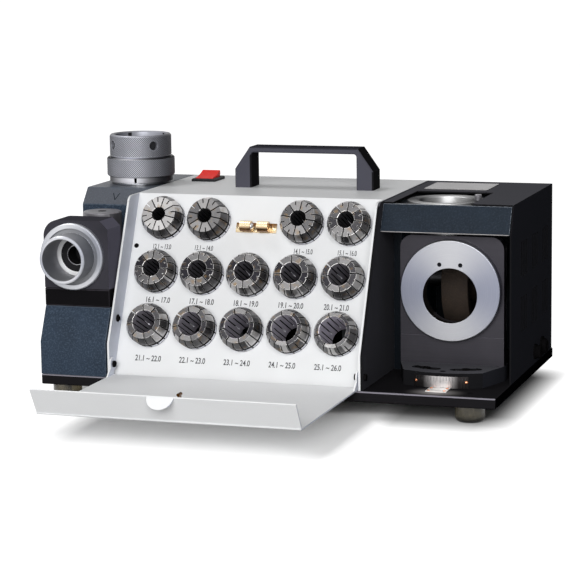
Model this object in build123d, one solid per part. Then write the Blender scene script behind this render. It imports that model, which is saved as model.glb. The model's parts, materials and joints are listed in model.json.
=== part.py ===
from build123d import *
import math
import os

# Bench drill bit grinder for 12 to 26 mm twist drills, all sizes in millimetres.
# X runs to the right, Y to the back and Z up; the origin is on the bench, under the middle of the machine
# with its lid lying open.
# A setback is a distance behind the front edge of the base plate.

# Base plate and feet
BASE_THICK = 10.0
BASE_EDGE_BREAK = 0.8
BASE_BACK_MARGIN = 8.0
FOOT_HEIGHT = 16.0
FOOT_RADIUS = 14.0
FOOT_ROUND = 4.5
FOOT_INSET_LEFT = 19.0
FOOT_INSET_RIGHT = 28.4
FOOT_INSET_Y = 19.0

# Body height, sheet and seams, shared by the casing, castings and covers
BODY_HEIGHT = 167.5
SHEET = 1.5
SEAM = 1.0

# Fits
SCREW_CLEAR = 0.1
RUN_CLEAR = 0.05
SLIDE_CLEAR = 0.3

# Socket cap screws and button head screws
CAP_SHANK_R = 2.5
CAP_HEAD_R = 4.25
CAP_HEAD_H = 5.0
CAP_LENGTH = 20.0
CAP_SOCKET = 4.0
BUTTON_SHANK_R = 2.0
BUTTON_HEAD_R = 3.6
BUTTON_LENGTH = 8.0
BUTTON_DOME = 0.61
BUTTON_CROWN = 0.62
BUTTON_SOCKET = 0.62
SMALL_SHANK_R = 1.5
SMALL_HEAD_R = 2.3

# White casing with the sloped collet panel
PANEL_SIDE = 11.2
CHEEK = 2.0
PANEL_LEAN = 24.6
CHEEK_PROUD = 23.0
CHEEK_SETBACK = 2.0
CHEEK_ROUND = 9.0
PANEL_BOTTOM = 0.5
PANEL_SCREW_INSET = 4.5
CHEEK_SCREW_SETBACK = 24.5
CHEEK_SCREW_RISE = 53.6

# Collets and their rack
COLLET_SIZES = [13, 14, 15, 16, 17, 18, 19, 20, 21, 22, 23, 24, 25, 26]
COLLET_LENGTH = 46.0
COLLET_R = 20.5
COLLET_SPACE = 6.3
COLLET_ROW_SPACE = 12.9
COLLET_FOLD_SPACE = 6.6
COLLET_SHIFT = 1.6
COLLET_LID_GAP = 0.5
COLLET_NOSE_R = 16.7
COLLET_NOSE_ANGLE = 25.0
COLLET_LAND = 4.2
COLLET_GROOVE = 3.5
COLLET_GROOVE_DEPTH = 2.5
COLLET_TAPER = 8.0
COLLET_MOUTH = 0.6
COLLET_SLIT = 1.1
COLLET_TIE = 8.0
COLLET_SHORT_SLIT = 5.5
COLLET_TURN = 137.5
RACK_DEPTH = 20.0
RACK_SHEET = 2.0
RACK_MARGIN = 4.0
RACK_SIDE_GAP = 0.5
RACK_BOSS_R = 4.0

# Lid in front of the panel, drawn open
LID_DROP = 12.0
LID_TOP_GAP = 0.3
LID_TAIL = 2.0
PIVOT_SETBACK = 5.85
LID_LIP = 29.0
LID_LIP_ANGLE = 120.0
LID_SIDE_GAP = 0.6
LID_REST_GAP = 0.3
LID_EAR_R = 6.5
LID_EAR_FRONT = 16.0
TAB_RADIUS = 12.4
TAB_ANGLE = 228.0
HINGE_R = 2.0
HINGE_HEAD_R = 3.1
HINGE_HEAD_H = 2.4

# Double ball catch and its tongue
CATCH_LENGTH = 41.0
CATCH_WIDTH = 9.5
CATCH_PLATE = 1.5
CATCH_DROP = 32.4
CATCH_BARREL_R = 5.2
CATCH_BARREL = 11.0
CATCH_GAP = 6.4
CATCH_RISE = 6.5
BALL_R = 3.2
BALL_OUT = 2.0
TONGUE_THICK = 1.2
TONGUE_WIDTH = 7.0
TONGUE_BEAD_R = 1.5
TONGUE_BEAD_RISE = 4.0
TONGUE_FOOT = 10.0

# Carrying handle
HANDLE_LENGTH = 143.4
HANDLE_HEIGHT = 40.8
HANDLE_DEPTH = 26.0
HANDLE_SETBACK = 152.0
HANDLE_OFFSET = 24.4
HANDLE_LEG = 17.0
HANDLE_SHOULDER = 18.5
HANDLE_SLOPE = 15.7
HANDLE_BAR = 5.5
HANDLE_EDGE = 1.2
HANDLE_GAP_ROUND = 3.0

# Rocker switch
SWITCH_INSET = 18.0
SWITCH_SETBACK = 190.0
SWITCH_WIDTH = 25.0
SWITCH_LENGTH = 31.0
SWITCH_RIM = 3.0
SWITCH_BODY = 28.0
SWITCH_BODY_WALL = 1.2
ROCKER_WIDTH = 19.0
ROCKER_LENGTH = 23.0
ROCKER_END = 4.0
ROCKER_DIP = 1.0
ROCKER_BELLY = 5.0
ROCKER_TILT = 15.0
ROCKER_PIVOT_RISE = 2.5
ROCKER_PIN_R = 1.5
ROCKER_GAP = 0.5

# Left casting: low front with a shelf, and a tower with the point grinding port
LEFT_KNEE_RISE = 32.0
LEFT_SHELF_RISE = 65.0
TOWER_SLOPE_RUN = 14.0
TOWER_SLOPE_DROP = 15.5
CAST_WALL = 8.0
MARK_OFFSET = 6.0
MARK_WIDTH = 7.5
MARK_HEIGHT = 9.0
MARK_LINE = 0.8
MARK_DEPTH = 0.6

# Spindle, motor and grinding wheels
SPINDLE_SETBACK = 171.0
SPINDLE_RISE = 81.0
SHAFT_R = 8.0
SHAFT_END = 12.0
WHEEL_R = 50.0
WHEEL_WIDTH = 26.0
WHEEL_HUB_R = 22.0
WHEEL_RECESS = 7.0
WHEEL_FRONT_GAP = 3.0
WHEEL_BACK_GAP = 25.0
MOTOR_R = 56.0
MOTOR_INSET = 48.0
MOTOR_RIGHT_GAP = 20.6
MOTOR_WALL = 6.0
MOTOR_END = 14.0
MOTOR_FOOT_THICK = 12.0
MOTOR_FOOT_WIDTH = 26.0
MOTOR_FOOT_REACH = 14.0
ROTOR_R = 40.0
ROTOR_GAP = 20.0
BEARING_R = 17.5
BEARING_WIDTH = 10.0

# Chuck standing in the left port
CHUCK_INSET = 39.5
CHUCK_SHANK_R = 26.0
PORT_LIP = 2.45
PORT_FLANGE = 2.6
PORT_WALL = 1.5
PORT_EDGE = 0.95
PORT_SPIGOT = 15.5
PORT_NOTCH = 2.4
PORT_NOTCH_ANGLE = 11.5
PORT_GAP = 0.1
CHUCK_SEAT_GAP = 0.2
CHUCK_COLLAR_LIP = 6.0
CHUCK_COLLAR_H = 5.0
CHUCK_RING_LIP = 2.1
CHUCK_RING_H = 19.4
CHUCK_SHANK = 17.5
CHUCK_NECK_WALL = 5.7
CHUCK_NECK_H = 10.0
CHUCK_BORE_R = 14.5
CHUCK_NUT_WALL = 4.8
CHUCK_NUT_H = 22.9
CHUCK_MOUTH_WALL = 5.0
CHUCK_CHAMFER = 1.0
TOMMY_COUNT = 4
TOMMY_R = 4.5
TOMMY_RISE = 12.7
TOMMY_DEPTH = 3.6
TOMMY_ANGLE = 47.0

# Drill setting station at the left front
SETTING_SETBACK = 15.0
SETTING_DEPTH = 32.0
SETTING_EDGE = 1.0
SETTING_SHELF_H = 17.3
SETTING_BLOCK_H = 66.0
SETTING_GAP = 0.4
SETTING_ROUND = 16.0
SETTING_CHAMFER = 8.0
SETTING_INSET = 30.4
SETTING_AXIS_RISE = 31.6
SETTING_FLANGE_LIP = 6.3
SETTING_FLANGE = 5.0
SETTING_TUBE_R = 23.2
SETTING_TUBE_WALL = 3.0
SETTING_TUBE = 22.0
SETTING_SPIGOT_LIP = 2.8
SETTING_SPIGOT = 20.0
SETTING_SEAT = 12.0
SETTING_STOP_R = 14.5
SETTING_STOP_BORE_R = 9.3
SETTING_STOP = 18.0
SETTING_STOP_LIP = 1.8
SETTING_STOP_LIP_H = 3.0
SETTING_RELIEF = 1.0
SETTING_STOP_FLOOR = 2.0
SETTING_RIM = 4.8
SETTING_DISH = 2.5
POST_INSET = 40.0
POST_GAP = 0.5
POST_R = 19.0
POST_H = 86.5

# Right module: bay wall, cover, casting and port
BAY_WALL = 2.5
VISOR_SETBACK = 62.0
VISOR_TOP_SETBACK = 74.0
VISOR_GAP = 4.0
VISOR_LIP = 4.0
VISOR_LIP_H = 4.0
CAST_GAP = 0.5
BAY_DEPTH = 46.0
SLAB_DEPTH = 98.0
COVER_GAP = 0.2
RPORT_OFFSET = 18.0
RPORT_GAP = 9.5
RPORT_LIP = 5.5
RPORT_FLANGE = 3.0
RPORT_MOUTH = 0.9
RPORT_WALL = 5.0
RPORT_SPIGOT = 12.0
STOP_PIN_R = 3.5
STOP_PIN_H = 5.5
STOP_PIN_OFFSET = 5.8
PLATE_INSET = 50.0
PLATE_SETBACK = 178.0
PLATE_WIDTH = 64.0
PLATE_DEPTH = 52.0
PLATE_THICK = 0.5
VENT_COLUMNS = 3
VENT_ROWS = 2
VENT_SLOTS = 4
VENT_SLOT = 3.6
VENT_SLOT_PITCH = 7.2
VENT_SLOT_H = 33.0
VENT_COLUMN_PITCH = 48.0
VENT_ROW_PITCH = 53.0
VENT_SETBACK = 105.0
VENT_RISE = 42.5
GLAND_R = 7.5
GLAND_BORE_R = 3.5
GLAND_OUT = 6.0
GLAND_FLANGE_R = 9.5
GLAND_SETBACK = 199.0
FUSE_R = 6.5
FUSE_OUT = 6.5
FUSE_SETBACK = 168.0
FUSE_LENGTH = 24.0
FITTING_RISE = 12.0

# Web thinning head
WEB_SETBACK = 76.0
WEB_WIDTH = 100.0
WEB_LEFT_GAP = 15.9
WEB_RIGHT_GAP = 10.0
WEB_TOP_EDGE = 2.5
WEB_THICK = 12.0
WEB_ROUND = 12.0
WEB_LINE_RISE = 26.5
WEB_LINE = 1.0
WEB_LINE_DEPTH = 0.5
RING_EDGE = 1.5
RING_THICK = 8.0
RING_DROP = 4.5
RING_BEVEL = 1.0
RING_HOLE_R = 2.1
RING_HOLE_OFFSET = 5.0
RING_HOLE_ANGLE = 19.0
RING_HOLE_DEPTH = 5.0
WEB_BORE_STEP = 1.5
SWIVEL_SETBACK = 116.0
SWIVEL_R = 84.0
SWIVEL_H = 14.3
SWIVEL_GAP = 0.2
SWIVEL_NOSE = 38.0
SWIVEL_TAIL = 14.0
SWIVEL_BACK = 24.0
SWIVEL_LIMIT = 8.0
SWIVEL_PIN_R = 8.0
SWIVEL_PIN = 8.0
SLOT_INSET = 18.0
SLOT_ANGLE = 17.0
SLOT_STEP = 4.5
MARK_HOLE_R = 3.0
MARK_HOLE_INSET = 9.0
STRIP_THICK = 1.0
STRIP_H = 11.0
STRIP_RISE = 0.3
STRIP_HALF_ANGLE = 17.8
RIVET_R = 1.6
RIVET_H = 0.8
STRIP_RIVET_INSET = 1.3
INDEX_WIDTH = 20.0
INDEX_DEPTH = 15.5
INDEX_THICK = 1.0
INDEX_GAP = 0.9
INDEX_RIVET_INSET = 2.4

# Rear panel
REAR_SHEET = 1.5
REAR_VENT_COUNT = 9
REAR_VENT_PITCH = 14.0
REAR_VENT_SLOT = 5.0
REAR_VENT_H = 60.0
REAR_VENT_RISE = 60.0
REAR_SCREW_INSET = 22.0

# Sizes worked out from those above
COLLET_PITCH = 2 * COLLET_R + COLLET_SPACE
ROW_PITCH = 2 * COLLET_R + COLLET_ROW_SPACE
ROW_DROP = COLLET_R + COLLET_FOLD_SPACE
COLLET_OUT = CHEEK_PROUD - SHEET - COLLET_LID_GAP
PORT_SPIGOT_R = CHUCK_SHANK_R + RUN_CLEAR + PORT_WALL
PORT_FLANGE_R = PORT_SPIGOT_R + PORT_LIP
CHUCK_COLLAR_R = CHUCK_SHANK_R + CHUCK_COLLAR_LIP
CHUCK_RING_R = CHUCK_COLLAR_R + CHUCK_RING_LIP
CHUCK_NECK_R = COLLET_R + CHUCK_NECK_WALL
CHUCK_NUT_R = CHUCK_NECK_R + CHUCK_NUT_WALL
CHUCK_MOUTH_R = CHUCK_NUT_R - CHUCK_MOUTH_WALL
SETTING_SPIGOT_R = SETTING_TUBE_R + SETTING_SPIGOT_LIP
SETTING_FLANGE_R = SETTING_SPIGOT_R + SETTING_FLANGE_LIP
RPORT_SPIGOT_R = CHUCK_SHANK_R + RPORT_WALL
RPORT_FLANGE_R = RPORT_SPIGOT_R + RPORT_LIP
STOP_PIN_REACH = CHUCK_SHANK_R + STOP_PIN_OFFSET
RING_R = WEB_WIDTH / 2 - RING_EDGE
RING_HOLE_REACH = CHUCK_SHANK_R + RING_HOLE_OFFSET
SLOT_REACH = SWIVEL_R - SLOT_INSET
MARK_HOLE_REACH = SWIVEL_R - MARK_HOLE_INSET
LEFT_WIDTH = CHUCK_INSET + PORT_SPIGOT_R + PORT_EDGE
SETTING_WIDTH = LEFT_WIDTH - SETTING_EDGE
CASING_WIDTH = 4 * COLLET_PITCH + 2 * (COLLET_R + PANEL_SIDE)
RIGHT_WIDTH = WEB_LEFT_GAP + WEB_WIDTH + WEB_RIGHT_GAP
BASE_WIDTH = LEFT_WIDTH + SEAM + CASING_WIDTH + BAY_WALL + RIGHT_WIDTH
BODY_DEPTH = SPINDLE_SETBACK + WHEEL_R + WHEEL_BACK_GAP
BASE_DEPTH = BODY_DEPTH + BASE_BACK_MARGIN
TOWER_SETBACK = SPINDLE_SETBACK - WHEEL_R - WHEEL_FRONT_GAP - CAST_WALL
POST_SETBACK = SETTING_SETBACK + SETTING_DEPTH + POST_GAP + POST_R
RPORT_SETBACK = VISOR_TOP_SETBACK + VISOR_LIP + RPORT_GAP + RPORT_FLANGE_R
MOTOR_LENGTH = CASING_WIDTH - MOTOR_INSET - MOTOR_RIGHT_GAP
ROTOR_LENGTH = MOTOR_LENGTH - 2 * (MOTOR_END + BEARING_WIDTH + ROTOR_GAP)

# Places worked out from the sizes above
LEAN = math.radians(PANEL_LEAN)
BASE_TOP = FOOT_HEIGHT + BASE_THICK
TOP_Z = BASE_TOP + BODY_HEIGHT
PIVOT_Z = BASE_TOP + LID_REST_GAP + LID_DROP
LID_REACH = (TOP_Z - PIVOT_Z) / math.cos(LEAN) + LID_TOP_GAP
FOLD_SETBACK = PIVOT_SETBACK + (TOP_Z - PIVOT_Z) * math.tan(LEAN) + (CHEEK_PROUD - LID_DROP) / math.cos(LEAN)
LIP_RUN = -LID_LIP * math.cos(math.radians(LID_LIP_ANGLE))
TAB_RUN = -TAB_RADIUS * math.cos(math.radians(TAB_ANGLE))
LID_SPAN = LID_REACH - PIVOT_SETBACK + LIP_RUN + TAB_RUN
FRONT = (LID_SPAN - BASE_DEPTH) / 2
LEFT_X = -BASE_WIDTH / 2
RIGHT_X = BASE_WIDTH / 2
BACK_Y = FRONT + BODY_DEPTH
CASING_X0 = LEFT_X + LEFT_WIDTH + SEAM
CASING_X1 = CASING_X0 + CASING_WIDTH
CASING_X = (CASING_X0 + CASING_X1) / 2
BAY_X1 = CASING_X1 + BAY_WALL
SPINDLE_Y = FRONT + SPINDLE_SETBACK
SPINDLE_Z = BASE_TOP + SPINDLE_RISE
CHUCK_X = LEFT_X + CHUCK_INSET
WEB_X = BAY_X1 + WEB_LEFT_GAP + WEB_WIDTH / 2
RPORT_X = WEB_X - RPORT_OFFSET
RIGHT_WHEEL_X = WEB_X - RPORT_OFFSET / 2
MOTOR_X0 = CASING_X0 + MOTOR_INSET
MOTOR_X1 = MOTOR_X0 + MOTOR_LENGTH
FOLD_Y = FRONT + FOLD_SETBACK
PIVOT_Y = FRONT + PIVOT_SETBACK
SWIVEL_Y = FRONT + SWIVEL_SETBACK
SWIVEL_TOP = BASE_TOP + SWIVEL_GAP + SWIVEL_H
BORE_Z = SPINDLE_Z
WEB_TOP = BORE_Z + RING_DROP + RING_R + WEB_TOP_EDGE
VISOR_RISE = WEB_TOP + VISOR_GAP - BASE_TOP
PANEL = Plane(origin=(CASING_X, FOLD_Y, TOP_Z), x_dir=(1, 0, 0), z_dir=(0, -math.cos(LEAN), math.sin(LEAN)))


# Shared shapes
def block(x0, x1, y0, y1, z0, z1):
    return Pos((x0 + x1) / 2, (y0 + y1) / 2, (z0 + z1) / 2) * Box(x1 - x0, y1 - y0, z1 - z0)


def side_face(points):
    return make_face(Polyline(*points, close=True))


def across(face, x0, x1):
    """Sweep a side view, drawn as (y, z), from x0 to x1."""
    return Pos(x0, 0, 0) * extrude(Plane.YZ * face, amount=x1 - x0, dir=(1, 0, 0))


def turned(points):
    """Spin a half section, drawn as (radius, height), about Z."""
    return revolve(Plane.XZ * make_face(Polyline(*points, close=True)), Axis.Z)


def tube(outer_r, inner_r, height):
    return turned([(inner_r, 0), (outer_r, 0), (outer_r, height), (inner_r, height)])


def upright(x, y, z, radius, height):
    """A plain round bar standing on the height z."""
    return Pos(x, y, z + height / 2) * Cylinder(radius, height)


def facing(x, y, z, direction):
    """A frame whose Z axis points along direction."""
    side = (0, 1, 0) if abs(direction[0]) > 0.5 else (1, 0, 0)
    return Plane(origin=(x, y, z), x_dir=side, z_dir=direction).location


def on_panel(x, drop, out=0.0):
    """A frame on the collet panel: x from its middle, drop below its top fold, Z pointing outwards."""
    return PANEL.location * Pos(x, -drop, out)


def panel_y(z, out=0.0):
    return FOLD_Y - (TOP_Z - z) * math.tan(LEAN) - out / math.cos(LEAN)


def cap_screw():
    """Socket cap screw with its shank down from the origin and its head above."""
    head = upright(0, 0, 0, CAP_HEAD_R, CAP_HEAD_H)
    socket = Pos(0, 0, CAP_HEAD_H) * extrude(RegularPolygon(CAP_SOCKET / 2, 6), amount=-CAP_HEAD_H / 2)
    return head + upright(0, 0, -CAP_LENGTH, CAP_SHANK_R, CAP_LENGTH) - socket


def button_screw(head_r, shank_r):
    """Button head screw with its shank down from the origin."""
    high = head_r * BUTTON_DOME
    head = turned([(0, 0), (head_r, 0), (head_r, high / 3), (head_r * BUTTON_CROWN, high), (0, high)])
    socket = Pos(0, 0, high) * extrude(RegularPolygon(shank_r * BUTTON_SOCKET, 6), amount=-high / 2)
    return head + upright(0, 0, -BUTTON_LENGTH, shank_r, BUTTON_LENGTH) - socket


def screw_hole(shank_r):
    return upright(0, 0, -BUTTON_LENGTH - SEAM, shank_r + SCREW_CLEAR, 2 * BUTTON_LENGTH)


def foot_places():
    sides = (FOOT_INSET_LEFT - BASE_WIDTH / 2, BASE_WIDTH / 2 - FOOT_INSET_RIGHT)
    setbacks = (FOOT_INSET_Y, BASE_DEPTH - FOOT_INSET_Y)
    return [(x, FRONT + setback) for x in sides for setback in setbacks]


def motor_foot_places():
    reach = MOTOR_R - MOTOR_FOOT_REACH / 2
    ends = [MOTOR_X0 + MOTOR_END + MOTOR_FOOT_WIDTH / 2, MOTOR_X1 - MOTOR_END - MOTOR_FOOT_WIDTH / 2]
    return [(x, SPINDLE_Y + side * reach) for x in ends for side in (-1, 1)]


def clamp_places():
    spots = []
    for side in (-1, 1):
        angle = math.radians(side * SLOT_ANGLE)
        spots.append((WEB_X + SLOT_REACH * math.sin(angle), SWIVEL_Y - SLOT_REACH * math.cos(angle)))
    return spots


def handle_places():
    half = HANDLE_LENGTH / 2 - HANDLE_LEG / 2
    return [(CASING_X + HANDLE_OFFSET + side * half, FRONT + HANDLE_SETBACK + HANDLE_DEPTH / 2)
            for side in (-1, 1)]


def panel_screw_frames():
    half = CASING_WIDTH / 2 - CHEEK - PANEL_SCREW_INSET
    return [on_panel(side * half, ROW_DROP + ROW_PITCH / 2) for side in (-1, 1)]


def cheek_screw_frame():
    """The screw inside the left cheek that holds the casing to the left casting."""
    spot = (CASING_X0 + CHEEK, FRONT + CHEEK_SCREW_SETBACK, BASE_TOP + CHEEK_SCREW_RISE)
    return facing(*spot, (1, 0, 0))


def rear_screw_frames():
    left = LEFT_X + CAST_WALL / 2
    right = RIGHT_X - SHEET - CAST_GAP - CAST_WALL / 2
    heights = [BASE_TOP + REAR_SCREW_INSET, BASE_TOP + VISOR_RISE - REAR_SCREW_INSET]
    return [facing(x, BACK_Y + REAR_SHEET, z, (0, 1, 0)) for x in (left, right) for z in heights]


# Base
def base_plate():
    plate = block(LEFT_X, RIGHT_X, FRONT, FRONT + BASE_DEPTH, FOOT_HEIGHT, BASE_TOP)
    plate = chamfer(plate.edges(), BASE_EDGE_BREAK)
    for x, y in foot_places() + motor_foot_places() + clamp_places():
        plate -= upright(x, y, 0, CAP_SHANK_R + SCREW_CLEAR, BASE_TOP + 1)
    return plate - upright(WEB_X, SWIVEL_Y, 0, SWIVEL_PIN_R + RUN_CLEAR, BASE_TOP + 1)


def feet():
    body = upright(0, 0, 0, FOOT_RADIUS, FOOT_HEIGHT)
    body = fillet(body.edges().group_by(Axis.Z)[0], FOOT_ROUND)
    body -= upright(0, 0, -1, CAP_HEAD_R + SCREW_CLEAR, BASE_TOP - CAP_LENGTH + 1)
    body -= upright(0, 0, 0, CAP_SHANK_R + SCREW_CLEAR, FOOT_HEIGHT + 1)
    return [Pos(x, y, 0) * body for x, y in foot_places()]


def cap_screws():
    screw = cap_screw()
    found = [Pos(x, y, BASE_TOP - CAP_LENGTH) * Rot(180, 0, 0) * screw for x, y in foot_places()]
    found += [Pos(x, y, BASE_TOP + MOTOR_FOOT_THICK) * screw for x, y in motor_foot_places()]
    found += [Pos(x, y, SWIVEL_TOP - SLOT_STEP + SWIVEL_GAP) * screw for x, y in clamp_places()]
    found += [Pos(x, y, TOP_Z - SHEET) * Rot(180, 0, 0) * screw for x, y in handle_places()]
    post_top = BASE_TOP + LEFT_SHELF_RISE + POST_H
    found.append(Pos(LEFT_X + POST_INSET, FRONT + POST_SETBACK, post_top - CAP_HEAD_H) * screw)
    return found


def panel_screws():
    small = button_screw(SMALL_HEAD_R, SMALL_SHANK_R)
    large = button_screw(BUTTON_HEAD_R, BUTTON_SHANK_R)
    found = [frame * small for frame in panel_screw_frames()]
    return found + [frame * large for frame in rear_screw_frames() + [cheek_screw_frame()]]


# Left casting and its port
def left_casting():
    shelf_z = BASE_TOP + LEFT_SHELF_RISE
    knee_z = BASE_TOP + LEFT_KNEE_RISE
    tower_y = FRONT + TOWER_SETBACK
    outline = [(FRONT, BASE_TOP), (FRONT, knee_z),
               (FRONT + (shelf_z - knee_z) * math.tan(LEAN), shelf_z), (tower_y, shelf_z),
               (tower_y, TOP_Z - TOWER_SLOPE_DROP), (tower_y + TOWER_SLOPE_RUN, TOP_Z),
               (BACK_Y, TOP_Z), (BACK_Y, BASE_TOP)]
    x1 = LEFT_X + LEFT_WIDTH
    body = across(side_face(outline), LEFT_X, x1)
    inner = (LEFT_X + CAST_WALL, x1 - CAST_WALL)
    front_y = FRONT + (shelf_z - knee_z) * math.tan(LEAN) + CAST_WALL
    body -= block(*inner, front_y, BACK_Y, BASE_TOP, shelf_z - CAST_WALL)
    body -= block(*inner, tower_y + CAST_WALL, BACK_Y + 1, BASE_TOP, TOP_Z - TOWER_SLOPE_DROP - CAST_WALL)
    body -= block(*inner, tower_y + CAST_WALL + TOWER_SLOPE_RUN, BACK_Y + 1, BASE_TOP, TOP_Z - CAST_WALL)
    body -= upright(CHUCK_X, SPINDLE_Y, TOP_Z - 2 * CAST_WALL, PORT_SPIGOT_R + SCREW_CLEAR, 3 * CAST_WALL)
    body -= along_spindle(x1) * Cylinder(SHAFT_R + 2 * SEAM, 3 * CAST_WALL)
    for frame in rear_screw_frames() + [cheek_screw_frame()]:
        body -= frame * screw_hole(BUTTON_SHANK_R)
    return body - tower_mark()


def tower_mark():
    """Shallow pointer cut into the sloped front of the tower."""
    slope = math.degrees(math.atan2(TOWER_SLOPE_DROP, TOWER_SLOPE_RUN))
    middle = (CHUCK_X - MARK_OFFSET, FRONT + TOWER_SETBACK + TOWER_SLOPE_RUN / 2,
              TOP_Z - TOWER_SLOPE_DROP / 2)
    frame = Pos(*middle) * Rot(slope, 0, 0)
    lean = math.degrees(math.atan2(MARK_WIDTH / 2, MARK_HEIGHT))
    line = Pos(0, MARK_HEIGHT / 2, 0) * Box(MARK_LINE, MARK_HEIGHT, 2 * MARK_DEPTH)
    lines = Part()
    for side in (-1, 1):
        lines += frame * Pos(0, -MARK_HEIGHT / 2, 0) * Rot(0, 0, -side * lean) * line
    return lines


def left_port_ring():
    ring = tube(PORT_FLANGE_R, CHUCK_SHANK_R + RUN_CLEAR, PORT_FLANGE)
    ring += Pos(0, 0, -PORT_SPIGOT) * tube(PORT_SPIGOT_R, CHUCK_SHANK_R + RUN_CLEAR, PORT_SPIGOT)
    return Pos(CHUCK_X, SPINDLE_Y, TOP_Z + PORT_GAP) * (ring - rim_notch(PORT_FLANGE_R, PORT_FLANGE))


def rim_notch(radius, height):
    """Index notch in a rim that starts at zero height."""
    cut = Pos(0, -radius, height / 2) * Box(PORT_NOTCH, 2 * PORT_NOTCH, height)
    return Rot(0, 0, PORT_NOTCH_ANGLE) * cut


def chuck_seat_z():
    return TOP_Z + PORT_GAP + PORT_FLANGE + CHUCK_SEAT_GAP


def chuck_body():
    """Shank, notched collar, knurled ring and threaded neck, turned from one bar."""
    c = CHUCK_CHAMFER
    ring_z = CHUCK_COLLAR_H
    top_z = ring_z + CHUCK_RING_H
    neck_z = top_z + CHUCK_NECK_H
    taper = (COLLET_R - CHUCK_BORE_R) / math.tan(math.radians(COLLET_TAPER))
    half = [(CHUCK_BORE_R, -CHUCK_SHANK), (CHUCK_SHANK_R - c, -CHUCK_SHANK), (CHUCK_SHANK_R, c - CHUCK_SHANK),
            (CHUCK_SHANK_R, 0), (CHUCK_COLLAR_R, 0), (CHUCK_COLLAR_R, ring_z), (CHUCK_RING_R - c, ring_z),
            (CHUCK_RING_R, ring_z + c), (CHUCK_RING_R, top_z - c), (CHUCK_RING_R - c, top_z),
            (CHUCK_NECK_R, top_z), (CHUCK_NECK_R, neck_z), (COLLET_R, neck_z), (CHUCK_BORE_R, neck_z - taper)]
    body = turned(half) - rim_notch(CHUCK_COLLAR_R, CHUCK_COLLAR_H)
    return Pos(CHUCK_X, SPINDLE_Y, chuck_seat_z()) * body


def chuck_nut():
    c = CHUCK_CHAMFER
    foot = CHUCK_SEAT_GAP
    thread_z = CHUCK_NECK_H + SLIDE_CLEAR
    thread_r = CHUCK_NECK_R + RUN_CLEAR
    top = CHUCK_NUT_H
    half = [(thread_r, foot), (CHUCK_NUT_R - c, foot), (CHUCK_NUT_R, foot + c), (CHUCK_NUT_R, top - c),
            (CHUCK_NUT_R - c, top), (CHUCK_MOUTH_R + 2 * c, top), (CHUCK_MOUTH_R, top - c),
            (CHUCK_MOUTH_R, thread_z + c), (COLLET_R + c, thread_z), (thread_r, thread_z)]
    nut = turned(half)
    drill = Pos(0, -CHUCK_NUT_R, TOMMY_RISE) * Rot(90, 0, 0) * Cylinder(TOMMY_R, 2 * TOMMY_DEPTH)
    for turn in range(TOMMY_COUNT):
        nut -= Rot(0, 0, TOMMY_ANGLE + 360 / TOMMY_COUNT * turn) * drill
    return Pos(CHUCK_X, SPINDLE_Y, chuck_seat_z() + CHUCK_COLLAR_H + CHUCK_RING_H) * nut


# Drill setting station
def setting_spot():
    shelf_top = BASE_TOP + LEFT_SHELF_RISE + SETTING_SHELF_H
    return LEFT_X + SETTING_INSET, FRONT + SETTING_SETBACK, shelf_top + SETTING_AXIS_RISE


def setting_shelf():
    z0 = BASE_TOP + LEFT_SHELF_RISE
    y0 = FRONT + SETTING_SETBACK
    bar = block(LEFT_X, LEFT_X + SETTING_WIDTH, y0, y0 + SETTING_DEPTH, z0, z0 + SETTING_SHELF_H)
    return chamfer(bar.edges().filter_by(Axis.X), BASE_EDGE_BREAK)


def setting_block():
    x, y, z = setting_spot()
    z0 = BASE_TOP + LEFT_SHELF_RISE + SETTING_SHELF_H + SETTING_GAP
    body = block(LEFT_X, LEFT_X + SETTING_WIDTH, y, y + SETTING_DEPTH, z0, z0 + SETTING_BLOCK_H)
    upper = body.edges().filter_by(Axis.Y).group_by(Axis.Z)[-1]
    body = fillet(upper.sort_by(Axis.X)[0], SETTING_ROUND)
    upper = body.edges().filter_by(Axis.Y).group_by(Axis.Z)[-1]
    body = chamfer(upper.sort_by(Axis.X)[-1], SETTING_CHAMFER)
    return body - facing(x, y, z, (0, 1, 0)) * Cylinder(SETTING_SPIGOT_R + SCREW_CLEAR, 3 * SETTING_DEPTH)


def setting_flange():
    inner = SETTING_TUBE_R - SETTING_TUBE_WALL
    seat = -SETTING_SEAT
    floor = seat + SETTING_STOP_LIP_H
    recess = SETTING_STOP_R + SETTING_STOP_LIP + SCREW_CLEAR
    rim = SETTING_FLANGE_R - SETTING_RIM
    dish = SETTING_FLANGE - SETTING_DISH
    half = [(SETTING_STOP_R + SCREW_CLEAR, -SETTING_SPIGOT), (SETTING_SPIGOT_R, -SETTING_SPIGOT),
            (SETTING_SPIGOT_R, 0), (SETTING_FLANGE_R, 0), (SETTING_FLANGE_R, SETTING_FLANGE - 1),
            (SETTING_FLANGE_R - 1, SETTING_FLANGE), (rim, SETTING_FLANGE), (rim, dish), (SETTING_TUBE_R, dish),
            (SETTING_TUBE_R, SETTING_FLANGE + SETTING_TUBE - 1),
            (SETTING_TUBE_R - 1, SETTING_FLANGE + SETTING_TUBE), (inner, SETTING_FLANGE + SETTING_TUBE),
            (inner, floor + SETTING_RELIEF), (inner + SETTING_RELIEF, floor + SETTING_RELIEF),
            (inner + SETTING_RELIEF, floor), (recess, floor), (recess, seat), (SETTING_STOP_R + SCREW_CLEAR, seat)]
    return facing(*setting_spot(), (0, -1, 0)) * turned(half)


def setting_stop():
    lip = SETTING_STOP_R + SETTING_STOP_LIP
    seat = -SETTING_SEAT
    back = seat - SETTING_STOP
    half = [(0, back), (SETTING_STOP_R, back), (SETTING_STOP_R, seat), (lip, seat), (lip, seat + SETTING_STOP_LIP_H),
            (SETTING_STOP_BORE_R, seat + SETTING_STOP_LIP_H), (SETTING_STOP_BORE_R, back + SETTING_STOP_FLOOR),
            (0, back + SETTING_STOP_FLOOR)]
    return facing(*setting_spot(), (0, -1, 0)) * turned(half)


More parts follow.
